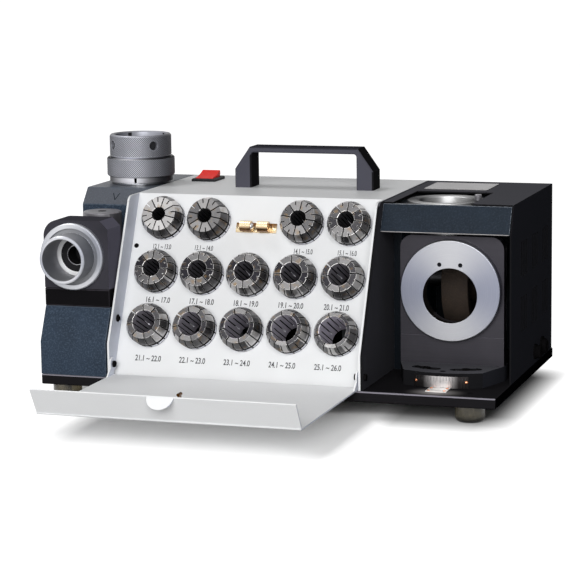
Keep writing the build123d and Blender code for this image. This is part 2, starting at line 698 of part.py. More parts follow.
def setting_post():
    post = upright(0, 0, 0, POST_R, POST_H)
    post = chamfer(post.edges().group_by(Axis.Z)[-1], CHUCK_CHAMFER)
    post -= upright(0, 0, POST_H - CAP_HEAD_H, CAP_HEAD_R + SCREW_CLEAR, 2 * CAP_HEAD_H)
    post -= upright(0, 0, POST_H - CAP_HEAD_H - CAP_LENGTH, CAP_SHANK_R + SCREW_CLEAR, CAP_LENGTH)
    return Pos(LEFT_X + POST_INSET, FRONT + POST_SETBACK, BASE_TOP + LEFT_SHELF_RISE) * post


# White casing, rack and collets
def cheek_face():
    """Side view of a cheek: upright at the foot, then parallel to the panel, rounded at the top front."""
    front_y = FRONT + CHEEK_SETBACK
    knee_z = TOP_Z - (panel_y(TOP_Z, CHEEK_PROUD) - front_y) / math.tan(LEAN)
    corner = (panel_y(TOP_Z, CHEEK_PROUD), TOP_Z)
    face = side_face([(front_y, BASE_TOP), (front_y, knee_z), corner, (BACK_Y, TOP_Z), (BACK_Y, BASE_TOP)])
    return fillet(face.vertices().sort_by_distance((*corner, 0))[0], CHEEK_ROUND)


def collet_places():
    """Panel coordinates of the 14 collets in reading order; the catch sits mid top row."""
    top = [(column, 0) for column in (-2, -1, 1, 2)]
    rest = [(column, row) for row in (1, 2) for column in (-2, -1, 0, 1, 2)]
    return [(COLLET_SHIFT + column * COLLET_PITCH, ROW_DROP + row * ROW_PITCH) for column, row in top + rest]


def collet_radius(out):
    """Radius of a collet's tapered body at a height out of the panel's face."""
    start = COLLET_OUT - nose_length() - COLLET_LAND - COLLET_GROOVE
    return COLLET_R - (start - out) * math.tan(math.radians(COLLET_TAPER))


def nose_length():
    return (COLLET_R - COLLET_NOSE_R) / math.tan(math.radians(COLLET_NOSE_ANGLE))


def casing():
    low_z = BASE_TOP + PANEL_BOTTOM
    fold = [(panel_y(low_z), low_z), (FOLD_Y, TOP_Z), (BACK_Y, TOP_Z), (BACK_Y, TOP_Z - SHEET),
            (FOLD_Y + SHEET / math.cos(LEAN) - SHEET * math.tan(LEAN), TOP_Z - SHEET),
            (panel_y(low_z, -SHEET), low_z)]
    shell = across(side_face(fold), CASING_X0, CASING_X1)
    shell += across(cheek_face(), CASING_X0, CASING_X0 + CHEEK)
    shell += across(cheek_face(), CASING_X1 - CHEEK, CASING_X1)
    for x, drop in collet_places():
        shell -= on_panel(x, drop) * Cylinder(collet_radius(0) + SLIDE_CLEAR, 4 * SHEET)
    for frame in panel_screw_frames():
        shell -= frame * Cylinder(SMALL_SHANK_R + SCREW_CLEAR, 4 * SHEET)
    for x, y in handle_places():
        shell -= upright(x, y, TOP_Z - 2 * SHEET, CAP_SHANK_R + SCREW_CLEAR, 4 * SHEET)
    x, y = switch_spot()
    shell -= Pos(x, y, TOP_Z) * Box(switch_inner()[0] + 2 * (SWITCH_BODY_WALL + SCREW_CLEAR),
                                    switch_inner()[1] + 2 * (SWITCH_BODY_WALL + SCREW_CLEAR), 4 * SHEET)
    shell -= facing(0, PIVOT_Y, PIVOT_Z, (1, 0, 0)) * Cylinder(HINGE_R + SCREW_CLEAR, 2 * BASE_WIDTH)
    shell -= along_spindle(0) * Cylinder(SHAFT_R + 2 * SEAM, 2 * BASE_WIDTH)
    return shell - cheek_screw_frame() * Cylinder(BUTTON_SHANK_R + SCREW_CLEAR, 4 * CHEEK)


def collet_rack():
    """Plate behind the panel that guides the collets' tails, on two bosses for the panel screws."""
    half = CASING_WIDTH / 2 - CHEEK - RACK_SIDE_GAP
    hole_r = collet_radius(-SHEET - RACK_DEPTH) + SLIDE_CLEAR
    top = ROW_DROP - hole_r - RACK_MARGIN
    low = ROW_DROP + 2 * ROW_PITCH + hole_r + RACK_MARGIN
    depth = -SHEET - RACK_DEPTH
    rack = PANEL.location * block(-half, half, -low, -top, depth - RACK_SHEET, depth)
    for frame in panel_screw_frames():
        rack += frame * upright(0, 0, depth, RACK_BOSS_R, RACK_DEPTH)
        rack -= frame * screw_hole(SMALL_SHANK_R)
    for x, drop in collet_places():
        rack -= on_panel(x, drop, depth) * Cylinder(hole_r, 4 * RACK_SHEET)
    return rack


def collet(bore):
    """Double slit spring collet along Z, its panel height at zero and its nose up."""
    bore_r = bore / 2
    top = COLLET_OUT
    low = top - COLLET_LENGTH
    land_z = top - nose_length()
    groove_z = land_z - COLLET_LAND
    body_z = groove_z - COLLET_GROOVE
    groove_r = COLLET_R - COLLET_GROOVE_DEPTH
    solid = turned([(bore_r, low), (collet_radius(low), low), (COLLET_R, body_z), (groove_r, body_z),
                    (groove_r, groove_z), (COLLET_R, groove_z), (COLLET_R, land_z), (COLLET_NOSE_R, top),
                    (bore_r + COLLET_MOUTH, top), (bore_r, top - COLLET_MOUTH)])
    return solid - collet_slits(min(COLLET_NOSE_R, bore_r + COLLET_SHORT_SLIT), low, top)


def collet_slits(short_r, low, top):
    """Eight slits from the nose, eight from the tail between them, and short ones that open at the nose."""
    reach = COLLET_R + 1
    half = COLLET_SLIT / 2
    front = block(-reach, reach, -half, half, low + COLLET_TIE, top + 1)
    back = block(-reach, reach, -half, half, low - 1, top - COLLET_TIE)
    short = block(short_r, reach, -half, half, top - COLLET_TIE - 1, top + 1)
    slits = Part()
    for turn in range(4):
        slits += Rot(0, 0, 45 * turn) * front
        slits += Rot(0, 0, 45 * turn + 22.5) * back
    for turn in range(8):
        slits += Rot(0, 0, 45 * turn + 22.5) * short
    return slits


# Lid, drawn lying open in front of the base
def lid_half_width():
    return CASING_WIDTH / 2 - CHEEK - LID_SIDE_GAP


def lid_low_z():
    return PIVOT_Z - LID_DROP


def lid():
    half = lid_half_width()
    x0 = CASING_X - half
    x1 = CASING_X + half
    z0 = lid_low_z()
    front_y = PIVOT_Y - LID_REACH
    body = block(x0, x1, front_y, PIVOT_Y + LID_TAIL, z0, z0 + SHEET)
    bend = Pos(CASING_X, front_y, z0) * Rot(-(180 - LID_LIP_ANGLE), 0, 0)
    body += bend * block(-half, half, -LID_LIP, 0, 0, SHEET)
    body += upright_roll(x0, x1, front_y, z0)
    for x in (x0, x1 - SHEET):
        ear = side_face([(PIVOT_Y - LID_EAR_FRONT, z0), (PIVOT_Y + LID_TAIL, z0),
                         (PIVOT_Y + LID_TAIL, PIVOT_Z), (PIVOT_Y - LID_TAIL, PIVOT_Z)])
        body += across(ear, x, x + SHEET)
        body += facing(x + SHEET / 2, PIVOT_Y, PIVOT_Z, (1, 0, 0)) * Cylinder(LID_EAR_R, SHEET)
    body -= facing(0, PIVOT_Y, PIVOT_Z, (1, 0, 0)) * Cylinder(HINGE_R + RUN_CLEAR, 2 * BASE_WIDTH)
    return body + finger_tab()


def upright_roll(x0, x1, y, z0):
    """The rounded fold between the lid's plate and its lip."""
    roll = across(Pos(y, z0 + SHEET) * Circle(SHEET), x0, x1)
    return roll & block(x0, x1, y - SHEET, y + SHEET, z0, z0 + SHEET)


def lip_top():
    angle = math.radians(LID_LIP_ANGLE)
    front_y = PIVOT_Y - LID_REACH
    return front_y + LID_LIP * math.cos(angle), lid_low_z() + LID_LIP * math.sin(angle)


def finger_tab():
    """Half moon flap folded outwards from the middle of the lip's top edge."""
    y, z = lip_top()
    moon = Circle(TAB_RADIUS) & Pos(0, TAB_RADIUS / 2) * Rectangle(2 * TAB_RADIUS, TAB_RADIUS)
    flap = extrude(moon, amount=SHEET)
    return Pos(CASING_X, y, z) * Rot(TAB_ANGLE, 0, 0) * flap


def tongue_reach():
    """Distance from the lid's pivot to its tongue, along the lid."""
    spot = (on_panel(0, CATCH_DROP)).position
    return (spot.Y - PIVOT_Y) * math.sin(LEAN) + (spot.Z - PIVOT_Z) * math.cos(LEAN)


def lid_strike():
    """Brass tongue on the lid that the two balls grip."""
    floor_out = CHEEK_PROUD - SHEET
    tip = floor_out - TONGUE_BEAD_RISE
    foot = block(-TONGUE_FOOT / 2, TONGUE_FOOT / 2, -TONGUE_WIDTH / 2, TONGUE_WIDTH / 2, 0, CATCH_PLATE)
    neck = block(-TONGUE_THICK / 2, TONGUE_THICK / 2, -TONGUE_WIDTH / 2, TONGUE_WIDTH / 2, 0, tip)
    bead = Pos(0, 0, tip) * Rot(90, 0, 0) * Cylinder(TONGUE_BEAD_R, TONGUE_WIDTH)
    spot = (CASING_X + COLLET_SHIFT, PIVOT_Y - tongue_reach(), lid_low_z() + SHEET)
    return Pos(*spot) * (foot + neck + bead)


def lid_hinge_screws():
    """Two shouldered screws through the cheeks and the lid's ears."""
    inside = lid_half_width() - SHEET
    screws = []
    for side, outer in ((-1, CASING_X0), (1, BAY_X1)):
        outer_x = abs(outer - CASING_X)
        length = outer_x - inside + HINGE_HEAD_H
        shank = upright(0, 0, 0, HINGE_R, length)
        head = upright(0, 0, length, HINGE_HEAD_R, HINGE_HEAD_H) if side > 0 else Part()
        nut = upright(0, 0, 0, HINGE_HEAD_R, HINGE_HEAD_H - SLIDE_CLEAR)
        screw = shank + nut + head
        start = CASING_X + side * (inside - HINGE_HEAD_H)
        screws.append(facing(start, PIVOT_Y, PIVOT_Z, (side, 0, 0)) * screw)
    return screws


# Ball catch on the panel
def catch_body():
    plate = block(-CATCH_LENGTH / 2, CATCH_LENGTH / 2, -CATCH_WIDTH / 2, CATCH_WIDTH / 2, 0, CATCH_PLATE)
    body = plate
    for side in (-1, 1):
        middle = side * (CATCH_GAP / 2 + CATCH_BARREL / 2)
        barrel = Pos(middle, 0, CATCH_RISE) * Rot(0, 90, 0) * Cylinder(CATCH_BARREL_R, CATCH_BARREL)
        stand = block(middle - CATCH_BARREL / 2, middle + CATCH_BARREL / 2, -CATCH_WIDTH / 3, CATCH_WIDTH / 3,
                      0, CATCH_RISE)
        body += barrel + stand
        bore = Pos(middle - side * BALL_R, 0, CATCH_RISE) * Rot(0, 90, 0)
        body -= bore * Cylinder(BALL_R + RUN_CLEAR, CATCH_BARREL)
        screw_x = side * (CATCH_LENGTH / 2 - (CATCH_LENGTH - CATCH_GAP - 2 * CATCH_BARREL) / 4)
        dome = turned([(0, 0), (BUTTON_SHANK_R, 0), (BUTTON_SHANK_R, 1), (BUTTON_SHANK_R / 2, 1.6), (0, 1.6)])
        body += Pos(screw_x, 0, CATCH_PLATE) * dome
    return on_panel(COLLET_SHIFT, CATCH_DROP) * body


def catch_ball(side):
    x = COLLET_SHIFT + side * (CATCH_GAP / 2 - BALL_OUT + BALL_R)
    return on_panel(x, CATCH_DROP, CATCH_RISE) * Sphere(BALL_R)


# Handle and switch on top
def handle():
    half = HANDLE_LENGTH / 2
    neck = half - HANDLE_SLOPE
    under = HANDLE_HEIGHT - HANDLE_BAR
    outer = [(-half, 0), (-half, HANDLE_SHOULDER), (-neck, HANDLE_HEIGHT), (neck, HANDLE_HEIGHT),
             (half, HANDLE_SHOULDER), (half, 0)]
    gap = Pos(0, under / 2) * Rectangle(2 * (half - HANDLE_LEG), under)
    gap = fillet(gap.vertices().group_by(Axis.Y)[-1], HANDLE_GAP_ROUND)
    body = extrude(Plane.XZ * (side_face(outer) - gap), amount=HANDLE_DEPTH / 2, both=True)
    rims = body.faces().filter_by(Axis.Y).edges()
    body = chamfer(rims.filter_by(lambda edge: edge.center().Z > HANDLE_EDGE), HANDLE_EDGE)
    body = Pos(CASING_X + HANDLE_OFFSET, FRONT + HANDLE_SETBACK + HANDLE_DEPTH / 2, TOP_Z) * body
    for x, y in handle_places():
        body -= upright(x, y, TOP_Z - 1, CAP_SHANK_R + SCREW_CLEAR, CAP_LENGTH - SHEET + 1)
    return body


def switch_spot():
    return CASING_X0 + SWITCH_INSET + SWITCH_WIDTH / 2, FRONT + SWITCH_SETBACK + SWITCH_LENGTH / 2


def switch_inner():
    """Clear width and length inside the bezel for the rocker's whole swing."""
    reach = math.hypot(ROCKER_LENGTH / 2, ROCKER_END)
    return ROCKER_WIDTH + 2 * ROCKER_GAP, 2 * (reach + ROCKER_GAP)


def switch_bezel():
    wide, long = switch_inner()
    dip = ROCKER_LENGTH / 2 * math.sin(math.radians(ROCKER_TILT))
    deep = ROCKER_BELLY + ROCKER_GAP - ROCKER_PIVOT_RISE + dip
    rim = Pos(0, 0, SWITCH_RIM / 2) * Box(SWITCH_WIDTH, SWITCH_LENGTH, SWITCH_RIM)
    rim = chamfer(rim.edges().group_by(Axis.Z)[-1], SWITCH_RIM / 3)
    walls = 2 * SWITCH_BODY_WALL
    box = Pos(0, 0, -SWITCH_BODY / 2) * Box(wide + walls, long + walls, SWITCH_BODY)
    body = rim + box
    body -= Pos(0, 0, SWITCH_RIM - (deep + SWITCH_RIM) / 2 + 1) * Box(wide, long, deep + SWITCH_RIM + 2)
    pin = Pos(0, 0, ROCKER_PIVOT_RISE) * Rot(0, 90, 0) * Cylinder(ROCKER_PIN_R + RUN_CLEAR, ROCKER_WIDTH + 3)
    return Pos(*switch_spot(), TOP_Z) * (body - pin)


def switch_rocker():
    half = ROCKER_LENGTH / 2
    side = [(-half, 0), (-half, ROCKER_END), (0, ROCKER_END - ROCKER_DIP), (half, ROCKER_END), (half, 0),
            (half / 3, -ROCKER_BELLY), (-half / 3, -ROCKER_BELLY)]
    body = across(side_face(side), -ROCKER_WIDTH / 2, ROCKER_WIDTH / 2)
    body += Rot(0, 90, 0) * Cylinder(ROCKER_PIN_R, ROCKER_WIDTH + 2.4)
    return Pos(*switch_spot(), TOP_Z + ROCKER_PIVOT_RISE) * Rot(ROCKER_TILT, 0, 0) * body


# Right module
def bay_wall():
    wall = across(cheek_face(), CASING_X1, BAY_X1)
    return wall - wall_passages()


def wall_passages():
    """Holes through the bay wall for the lid's hinge screw and the spindle."""
    hinge = facing(BAY_X1, PIVOT_Y, PIVOT_Z, (1, 0, 0)) * Cylinder(HINGE_R + SCREW_CLEAR, 8 * BAY_WALL)
    return hinge + along_spindle(BAY_X1) * Cylinder(SHAFT_R + 2 * SEAM, 8 * BAY_WALL)


def right_cover():
    visor_z = BASE_TOP + VISOR_RISE
    wall = side_face([(FRONT + VISOR_SETBACK, BASE_TOP), (FRONT + VISOR_SETBACK, visor_z),
                      (FRONT + VISOR_TOP_SETBACK, TOP_Z), (BACK_Y, TOP_Z), (BACK_Y, BASE_TOP)])
    cover = across(wall, RIGHT_X - SHEET, RIGHT_X)
    cover += block(BAY_X1, RIGHT_X, FRONT + VISOR_TOP_SETBACK, BACK_Y, TOP_Z - SHEET, TOP_Z)
    half = RPORT_FLANGE_R + 2 * CAST_GAP
    port_y = FRONT + RPORT_SETBACK
    cover -= block(RPORT_X - half, RPORT_X + half, FRONT, port_y + half, TOP_Z - 2 * SHEET, TOP_Z + 1)
    for row in range(VENT_ROWS):
        for column in range(VENT_COLUMNS):
            for slot in range(VENT_SLOTS):
                y = FRONT + VENT_SETBACK + column * VENT_COLUMN_PITCH + slot * VENT_SLOT_PITCH
                z = BASE_TOP + VENT_RISE + row * VENT_ROW_PITCH
                cover -= block(RIGHT_X - 2 * SHEET, RIGHT_X + 1, y, y + VENT_SLOT, z, z + VENT_SLOT_H)
    for spot, radius in fitting_places():
        cover -= spot * Cylinder(radius - 1 + SCREW_CLEAR, 4 * SHEET)
    return cover


def fitting_places():
    """Frames and radii of the cord gland and the fuse holder on the right wall."""
    fittings = ((GLAND_SETBACK, GLAND_R), (FUSE_SETBACK, FUSE_R))
    return [(facing(RIGHT_X, FRONT + setback, BASE_TOP + FITTING_RISE, (1, 0, 0)), radius)
            for setback, radius in fittings]


def right_casting():
    x0 = BAY_X1 + CAST_GAP
    x1 = RIGHT_X - SHEET - CAST_GAP
    visor_z = BASE_TOP + VISOR_RISE
    lip_z = TOP_Z - SHEET - COVER_GAP
    slab_z = lip_z - VISOR_LIP_H
    slope = (VISOR_TOP_SETBACK - VISOR_SETBACK) / (TOP_Z - visor_z)
    front_y = FRONT + VISOR_SETBACK
    top_y = front_y + slope * (lip_z - visor_z)
    bay_y = front_y + BAY_DEPTH
    outline = [(front_y, visor_z), (top_y, lip_z), (top_y + VISOR_LIP, lip_z), (top_y + VISOR_LIP, slab_z),
               (BACK_Y, slab_z), (BACK_Y, BASE_TOP), (bay_y, BASE_TOP), (bay_y, visor_z)]
    body = across(side_face(outline), x0, x1)
    inner = (x0 + CAST_WALL, x1 - CAST_WALL)
    body -= block(*inner, bay_y - 1, BACK_Y - CAST_WALL, BASE_TOP, slab_z - RPORT_SPIGOT)
    body -= block(*inner, bay_y + SLAB_DEPTH, BACK_Y - CAST_WALL, BASE_TOP, slab_z - CAST_WALL)
    port = (RPORT_X, FRONT + RPORT_SETBACK)
    body -= upright(*port, slab_z - 3 * CAST_WALL, RPORT_SPIGOT_R + SCREW_CLEAR, 4 * CAST_WALL)
    body -= along_spindle(x0) * Cylinder(SHAFT_R + 2 * SEAM, 4 * CAST_WALL)
    for spot, radius in fitting_places():
        body -= spot * Cylinder(radius + SEAM, 4 * CAST_WALL)
    for frame in rear_screw_frames():
        body -= frame * screw_hole(BUTTON_SHANK_R)
    return body


def slab_top():
    return TOP_Z - SHEET - COVER_GAP - VISOR_LIP_H


def right_port_ring():
    bore_r = CHUCK_SHANK_R + RUN_CLEAR
    ring = turned([(bore_r, -RPORT_SPIGOT), (RPORT_SPIGOT_R, -RPORT_SPIGOT), (RPORT_SPIGOT_R, 0),
                   (RPORT_FLANGE_R, 0), (RPORT_FLANGE_R, RPORT_FLANGE), (bore_r + RPORT_MOUTH, RPORT_FLANGE),
                   (bore_r, RPORT_FLANGE - RPORT_MOUTH)])
    ring -= upright(STOP_PIN_REACH, 0, 0, STOP_PIN_R + SCREW_CLEAR, 2 * RPORT_FLANGE)
    return Pos(RPORT_X, FRONT + RPORT_SETBACK, slab_top()) * ring


def port_stop_pin():
    spot = (RPORT_X + STOP_PIN_REACH, FRONT + RPORT_SETBACK, slab_top())
    pin = upright(*spot, STOP_PIN_R, RPORT_FLANGE + STOP_PIN_H)
    return chamfer(pin.edges().group_by(Axis.Z)[-1], STOP_PIN_R / 5)


def blank_plate():
    x1 = RIGHT_X - PLATE_INSET
    y0 = FRONT + PLATE_SETBACK
    plate = block(x1 - PLATE_WIDTH, x1, y0, y0 + PLATE_DEPTH, TOP_Z, TOP_Z + PLATE_THICK)
    return fillet(plate.edges().filter_by(Axis.Z), 2)


def cord_gland():
    """Threaded gland with a domed nut; the bore is where a mains lead would leave."""
    half = [(GLAND_BORE_R, -3 * SHEET), (GLAND_R - 1, -3 * SHEET), (GLAND_R - 1, 0), (GLAND_FLANGE_R, 0),
            (GLAND_FLANGE_R, SHEET), (GLAND_R, SHEET), (GLAND_R, GLAND_OUT - 2), (GLAND_R - 2, GLAND_OUT),
            (GLAND_BORE_R, GLAND_OUT)]
    return facing(RIGHT_X, FRONT + GLAND_SETBACK, BASE_TOP + FITTING_RISE, (1, 0, 0)) * turned(half)


def fuse_holder():
    cap = FUSE_R + 1
    half = [(0, -FUSE_LENGTH), (FUSE_R - 1, -FUSE_LENGTH), (FUSE_R - 1, 0), (cap, 0), (cap, SHEET),
            (FUSE_R, SHEET), (FUSE_R, FUSE_OUT - 1), (FUSE_R - 1, FUSE_OUT), (0, FUSE_OUT)]
    body = turned(half)
    slot = Pos(0, 0, FUSE_OUT) * Box(FUSE_R * 1.4, 1.4, 2)
    return facing(RIGHT_X, FRONT + FUSE_SETBACK, BASE_TOP + FITTING_RISE, (1, 0, 0)) * (body - slot)


def rear_panel():
    y1 = BACK_Y + REAR_SHEET
    panel = block(LEFT_X, RIGHT_X, BACK_Y, y1, BASE_TOP, TOP_Z)
    first = CASING_X - (REAR_VENT_COUNT - 1) * REAR_VENT_PITCH / 2
    z = BASE_TOP + REAR_VENT_RISE
    for index in range(REAR_VENT_COUNT):
        x = first + index * REAR_VENT_PITCH
        panel -= block(x - REAR_VENT_SLOT / 2, x + REAR_VENT_SLOT / 2, BACK_Y - 1, y1 + 1, z, z + REAR_VENT_H)
    for frame in rear_screw_frames():
        panel -= frame * Cylinder(BUTTON_SHANK_R + SCREW_CLEAR, 4 * REAR_SHEET)
    return panel


# Web thinning head on its swivel
def web_frame(setback):
    return facing(WEB_X, FRONT + setback, BORE_Z, (0, -1, 0))


def web_plate():
    y0 = FRONT + WEB_SETBACK
    half = WEB_WIDTH / 2
    plate = block(WEB_X - half, WEB_X + half, y0, y0 + WEB_THICK, SWIVEL_TOP, WEB_TOP)
    plate = fillet(plate.edges().filter_by(Axis.Y).group_by(Axis.Z)[-1], WEB_ROUND)
    plate -= web_frame(WEB_SETBACK) * Cylinder(CHUCK_SHANK_R + WEB_BORE_STEP, 3 * WEB_THICK)
    line = SWIVEL_TOP + WEB_LINE_RISE
    return plate - block(WEB_X - half, WEB_X + half, y0 - 1, y0 + WEB_LINE_DEPTH, line, line + WEB_LINE)


def web_ring():
    disc = Pos(0, RING_DROP, 0) * upright(0, 0, 0, RING_R, RING_THICK)
    disc = chamfer(disc.edges().group_by(Axis.Z)[-1], RING_BEVEL)
    disc -= upright(0, 0, -1, CHUCK_SHANK_R + RUN_CLEAR, RING_THICK + 2)
    for side in (-1, 1):
        angle = math.radians(side * RING_HOLE_ANGLE)
        spot = (RING_HOLE_REACH * math.sin(angle), RING_HOLE_REACH * math.cos(angle))
        disc -= upright(*spot, RING_THICK - RING_HOLE_DEPTH, RING_HOLE_R, 2 * RING_HOLE_DEPTH)
    return web_frame(WEB_SETBACK) * disc


def swivel_block():
    low = BASE_TOP + SWIVEL_GAP
    half = WEB_WIDTH / 2
    nose_y = SWIVEL_Y - math.sqrt(SWIVEL_R ** 2 - SWIVEL_NOSE ** 2)
    back_y = SWIVEL_Y - SWIVEL_BACK
    plan = [(-SWIVEL_NOSE, SWIVEL_Y - SWIVEL_R - 1), (-SWIVEL_NOSE, nose_y), (-half, FRONT + WEB_SETBACK),
            (-half, back_y), (half, back_y), (half, FRONT + WEB_SETBACK), (SWIVEL_NOSE, nose_y),
            (SWIVEL_NOSE, SWIVEL_Y - SWIVEL_R - 1)]
    body = Pos(WEB_X, 0, low) * extrude(side_face(plan), amount=SWIVEL_H, dir=(0, 0, 1))
    body &= upright(WEB_X, SWIVEL_Y, low, SWIVEL_R, SWIVEL_H)
    body += block(WEB_X - SWIVEL_TAIL, WEB_X + SWIVEL_TAIL, back_y - 1, SWIVEL_Y, low, SWIVEL_TOP)
    body += upright(WEB_X, SWIVEL_Y, low, SWIVEL_TAIL, SWIVEL_H)
    body += upright(WEB_X, SWIVEL_Y, low - SWIVEL_PIN, SWIVEL_PIN_R, SWIVEL_PIN)
    for side in (-1, 1):
        body -= arc_slot(side * SLOT_ANGLE, CAP_SHANK_R + 2 * SLIDE_CLEAR, low - 1)
        body -= arc_slot(side * SLOT_ANGLE, CAP_HEAD_R + 2 * SLIDE_CLEAR, SWIVEL_TOP - SLOT_STEP)
    return body - upright(WEB_X, SWIVEL_Y - MARK_HOLE_REACH, SWIVEL_TOP - SWIVEL_H / 2, MARK_HOLE_R, SWIVEL_H)


def swing_sector(half_angle, inner_r, outer_r, height):
    """Part of a ring about the swivel's pin, reaching half_angle each side of the front."""
    wedge = [(0, 0)]
    for edge in (-1, 1):
        turn = math.radians(edge * half_angle)
        wedge.append((2 * outer_r * math.sin(turn), -2 * outer_r * math.cos(turn)))
    return tube(outer_r, inner_r, height) & extrude(side_face(wedge), amount=height, dir=(0, 0, 1))


def arc_slot(angle, half_width, z0):
    """Slot along the swivel's arc, long enough for a clamp screw over the whole swing."""
    height = 2 * SWIVEL_H
    reach = SWIVEL_LIMIT + 1
    slot = swing_sector(reach, SLOT_REACH - half_width, SLOT_REACH + half_width, height)
    for edge in (-1, 1):
        turn = math.radians(edge * reach)
        slot += upright(SLOT_REACH * math.sin(turn), -SLOT_REACH * math.cos(turn), 0, half_width, height)
    return Pos(WEB_X, SWIVEL_Y, z0) * Rot(0, 0, angle) * slot


def scale_strip():
    strip = swing_sector(STRIP_HALF_ANGLE, SWIVEL_R, SWIVEL_R + STRIP_THICK, STRIP_H)
    return Pos(WEB_X, SWIVEL_Y, BASE_TOP + SWIVEL_GAP + STRIP_RISE) * strip


def rivet():
    return turned([(0, 0), (RIVET_R, 0), (RIVET_R * 0.7, RIVET_H * 0.75), (0, RIVET_H)])


def scale_rivets():
    height = BASE_TOP + SWIVEL_GAP + STRIP_RISE + STRIP_H / 2
    found = []
    for side in (-1, 1):
        turn = math.radians(side * (STRIP_HALF_ANGLE - STRIP_RIVET_INSET))
        out = (math.sin(turn), -math.cos(turn), 0)
        reach = SWIVEL_R + STRIP_THICK
        spot = Plane(origin=(WEB_X + reach * out[0], SWIVEL_Y + reach * out[1], height), z_dir=out)
        found.append(spot.location * rivet())
    return found


def index_spot():
    back_y = SWIVEL_Y - SWIVEL_R - STRIP_THICK - INDEX_GAP
    return WEB_X, back_y - INDEX_DEPTH / 2


def index_plate():
    x, y = index_spot()
    return Pos(x, y, BASE_TOP + INDEX_THICK / 2) * Box(INDEX_WIDTH, INDEX_DEPTH, INDEX_THICK)


def index_rivets():
    x, y = index_spot()
    reach_x = INDEX_WIDTH / 2 - INDEX_RIVET_INSET
    reach_y = INDEX_DEPTH / 2 - INDEX_RIVET_INSET
    return [Pos(x + sx * reach_x, y + sy * reach_y, BASE_TOP + INDEX_THICK) * rivet()
            for sx in (-1, 1) for sy in (-1, 1)]


# Motor, spindle and wheels
def along_spindle(x):
    return facing(x, SPINDLE_Y, SPINDLE_Z, (1, 0, 0))


def motor_body():
    c = MOTOR_END
    bore = SHAFT_R + SEAM
    seat = BEARING_R + RUN_CLEAR
    core = ROTOR_R + SEAM
    wall_end = MOTOR_END + BEARING_WIDTH
    far = MOTOR_LENGTH
    half = [(bore, 0), (MOTOR_R - c, 0), (MOTOR_R, c), (MOTOR_R, far - c), (MOTOR_R - c, far),
            (bore, far), (bore, far - MOTOR_WALL), (seat, far - MOTOR_WALL),
            (seat, far - MOTOR_WALL - BEARING_WIDTH), (core, far - wall_end),
            (core, wall_end), (seat, MOTOR_WALL + BEARING_WIDTH), (seat, MOTOR_WALL), (bore, MOTOR_WALL)]
    body = along_spindle(MOTOR_X0) * turned(half)
    for x in (MOTOR_X0 + MOTOR_END, MOTOR_X1 - MOTOR_END - MOTOR_FOOT_WIDTH):
        foot = block(x, x + MOTOR_FOOT_WIDTH, SPINDLE_Y - MOTOR_R, SPINDLE_Y + MOTOR_R, BASE_TOP,
                     BASE_TOP + MOTOR_FOOT_THICK)
        stem = block(x, x + MOTOR_FOOT_WIDTH, SPINDLE_Y - MOTOR_R / 2, SPINDLE_Y + MOTOR_R / 2, BASE_TOP,
                     SPINDLE_Z - MOTOR_R / 2)
        body += (foot + stem) - along_spindle(x) * Cylinder(ROTOR_R + SEAM, 4 * MOTOR_FOOT_WIDTH)
    for x, y in motor_foot_places():
        body -= upright(x, y, BASE_TOP - 1, CAP_SHANK_R + SCREW_CLEAR, MOTOR_FOOT_THICK + 2)
        body -= upright(x, y, BASE_TOP + MOTOR_FOOT_THICK, CAP_HEAD_R + 1, 2 * CAP_HEAD_H)
    return body


def motor_bearings():
    ring = tube(BEARING_R, SHAFT_R + RUN_CLEAR, BEARING_WIDTH)
    places = (MOTOR_X0 + MOTOR_WALL, MOTOR_X1 - MOTOR_WALL - BEARING_WIDTH)
    return [along_spindle(x) * ring for x in places]


def rotor_shaft():
    x0 = CHUCK_X - WHEEL_WIDTH / 2 - SHAFT_END
    x1 = RIGHT_WHEEL_X + WHEEL_WIDTH / 2 + SHAFT_END
    shaft = along_spindle(x0) * upright(0, 0, 0, SHAFT_R, x1 - x0)
    core_x = (MOTOR_X0 + MOTOR_X1 - ROTOR_LENGTH) / 2
    return shaft + along_spindle(core_x) * upright(0, 0, 0, ROTOR_R, ROTOR_LENGTH)


def grinding_wheel(x):
    """Dished wheel with a thick abrasive rim and a plain hub."""
    low = -WHEEL_WIDTH / 2
    rim_r = WHEEL_R - WHEEL_RECESS
    half = [(SHAFT_R + RUN_CLEAR, low), (WHEEL_HUB_R, low), (WHEEL_HUB_R, low + WHEEL_RECESS),
            (rim_r, low + WHEEL_RECESS), (rim_r, low), (WHEEL_R, low), (WHEEL_R, -low), (rim_r, -low),
            (rim_r, -low - WHEEL_RECESS), (WHEEL_HUB_R, -low - WHEEL_RECESS), (WHEEL_HUB_R, -low),
            (SHAFT_R + RUN_CLEAR, -low)]
    return along_spindle(x) * turned(half)


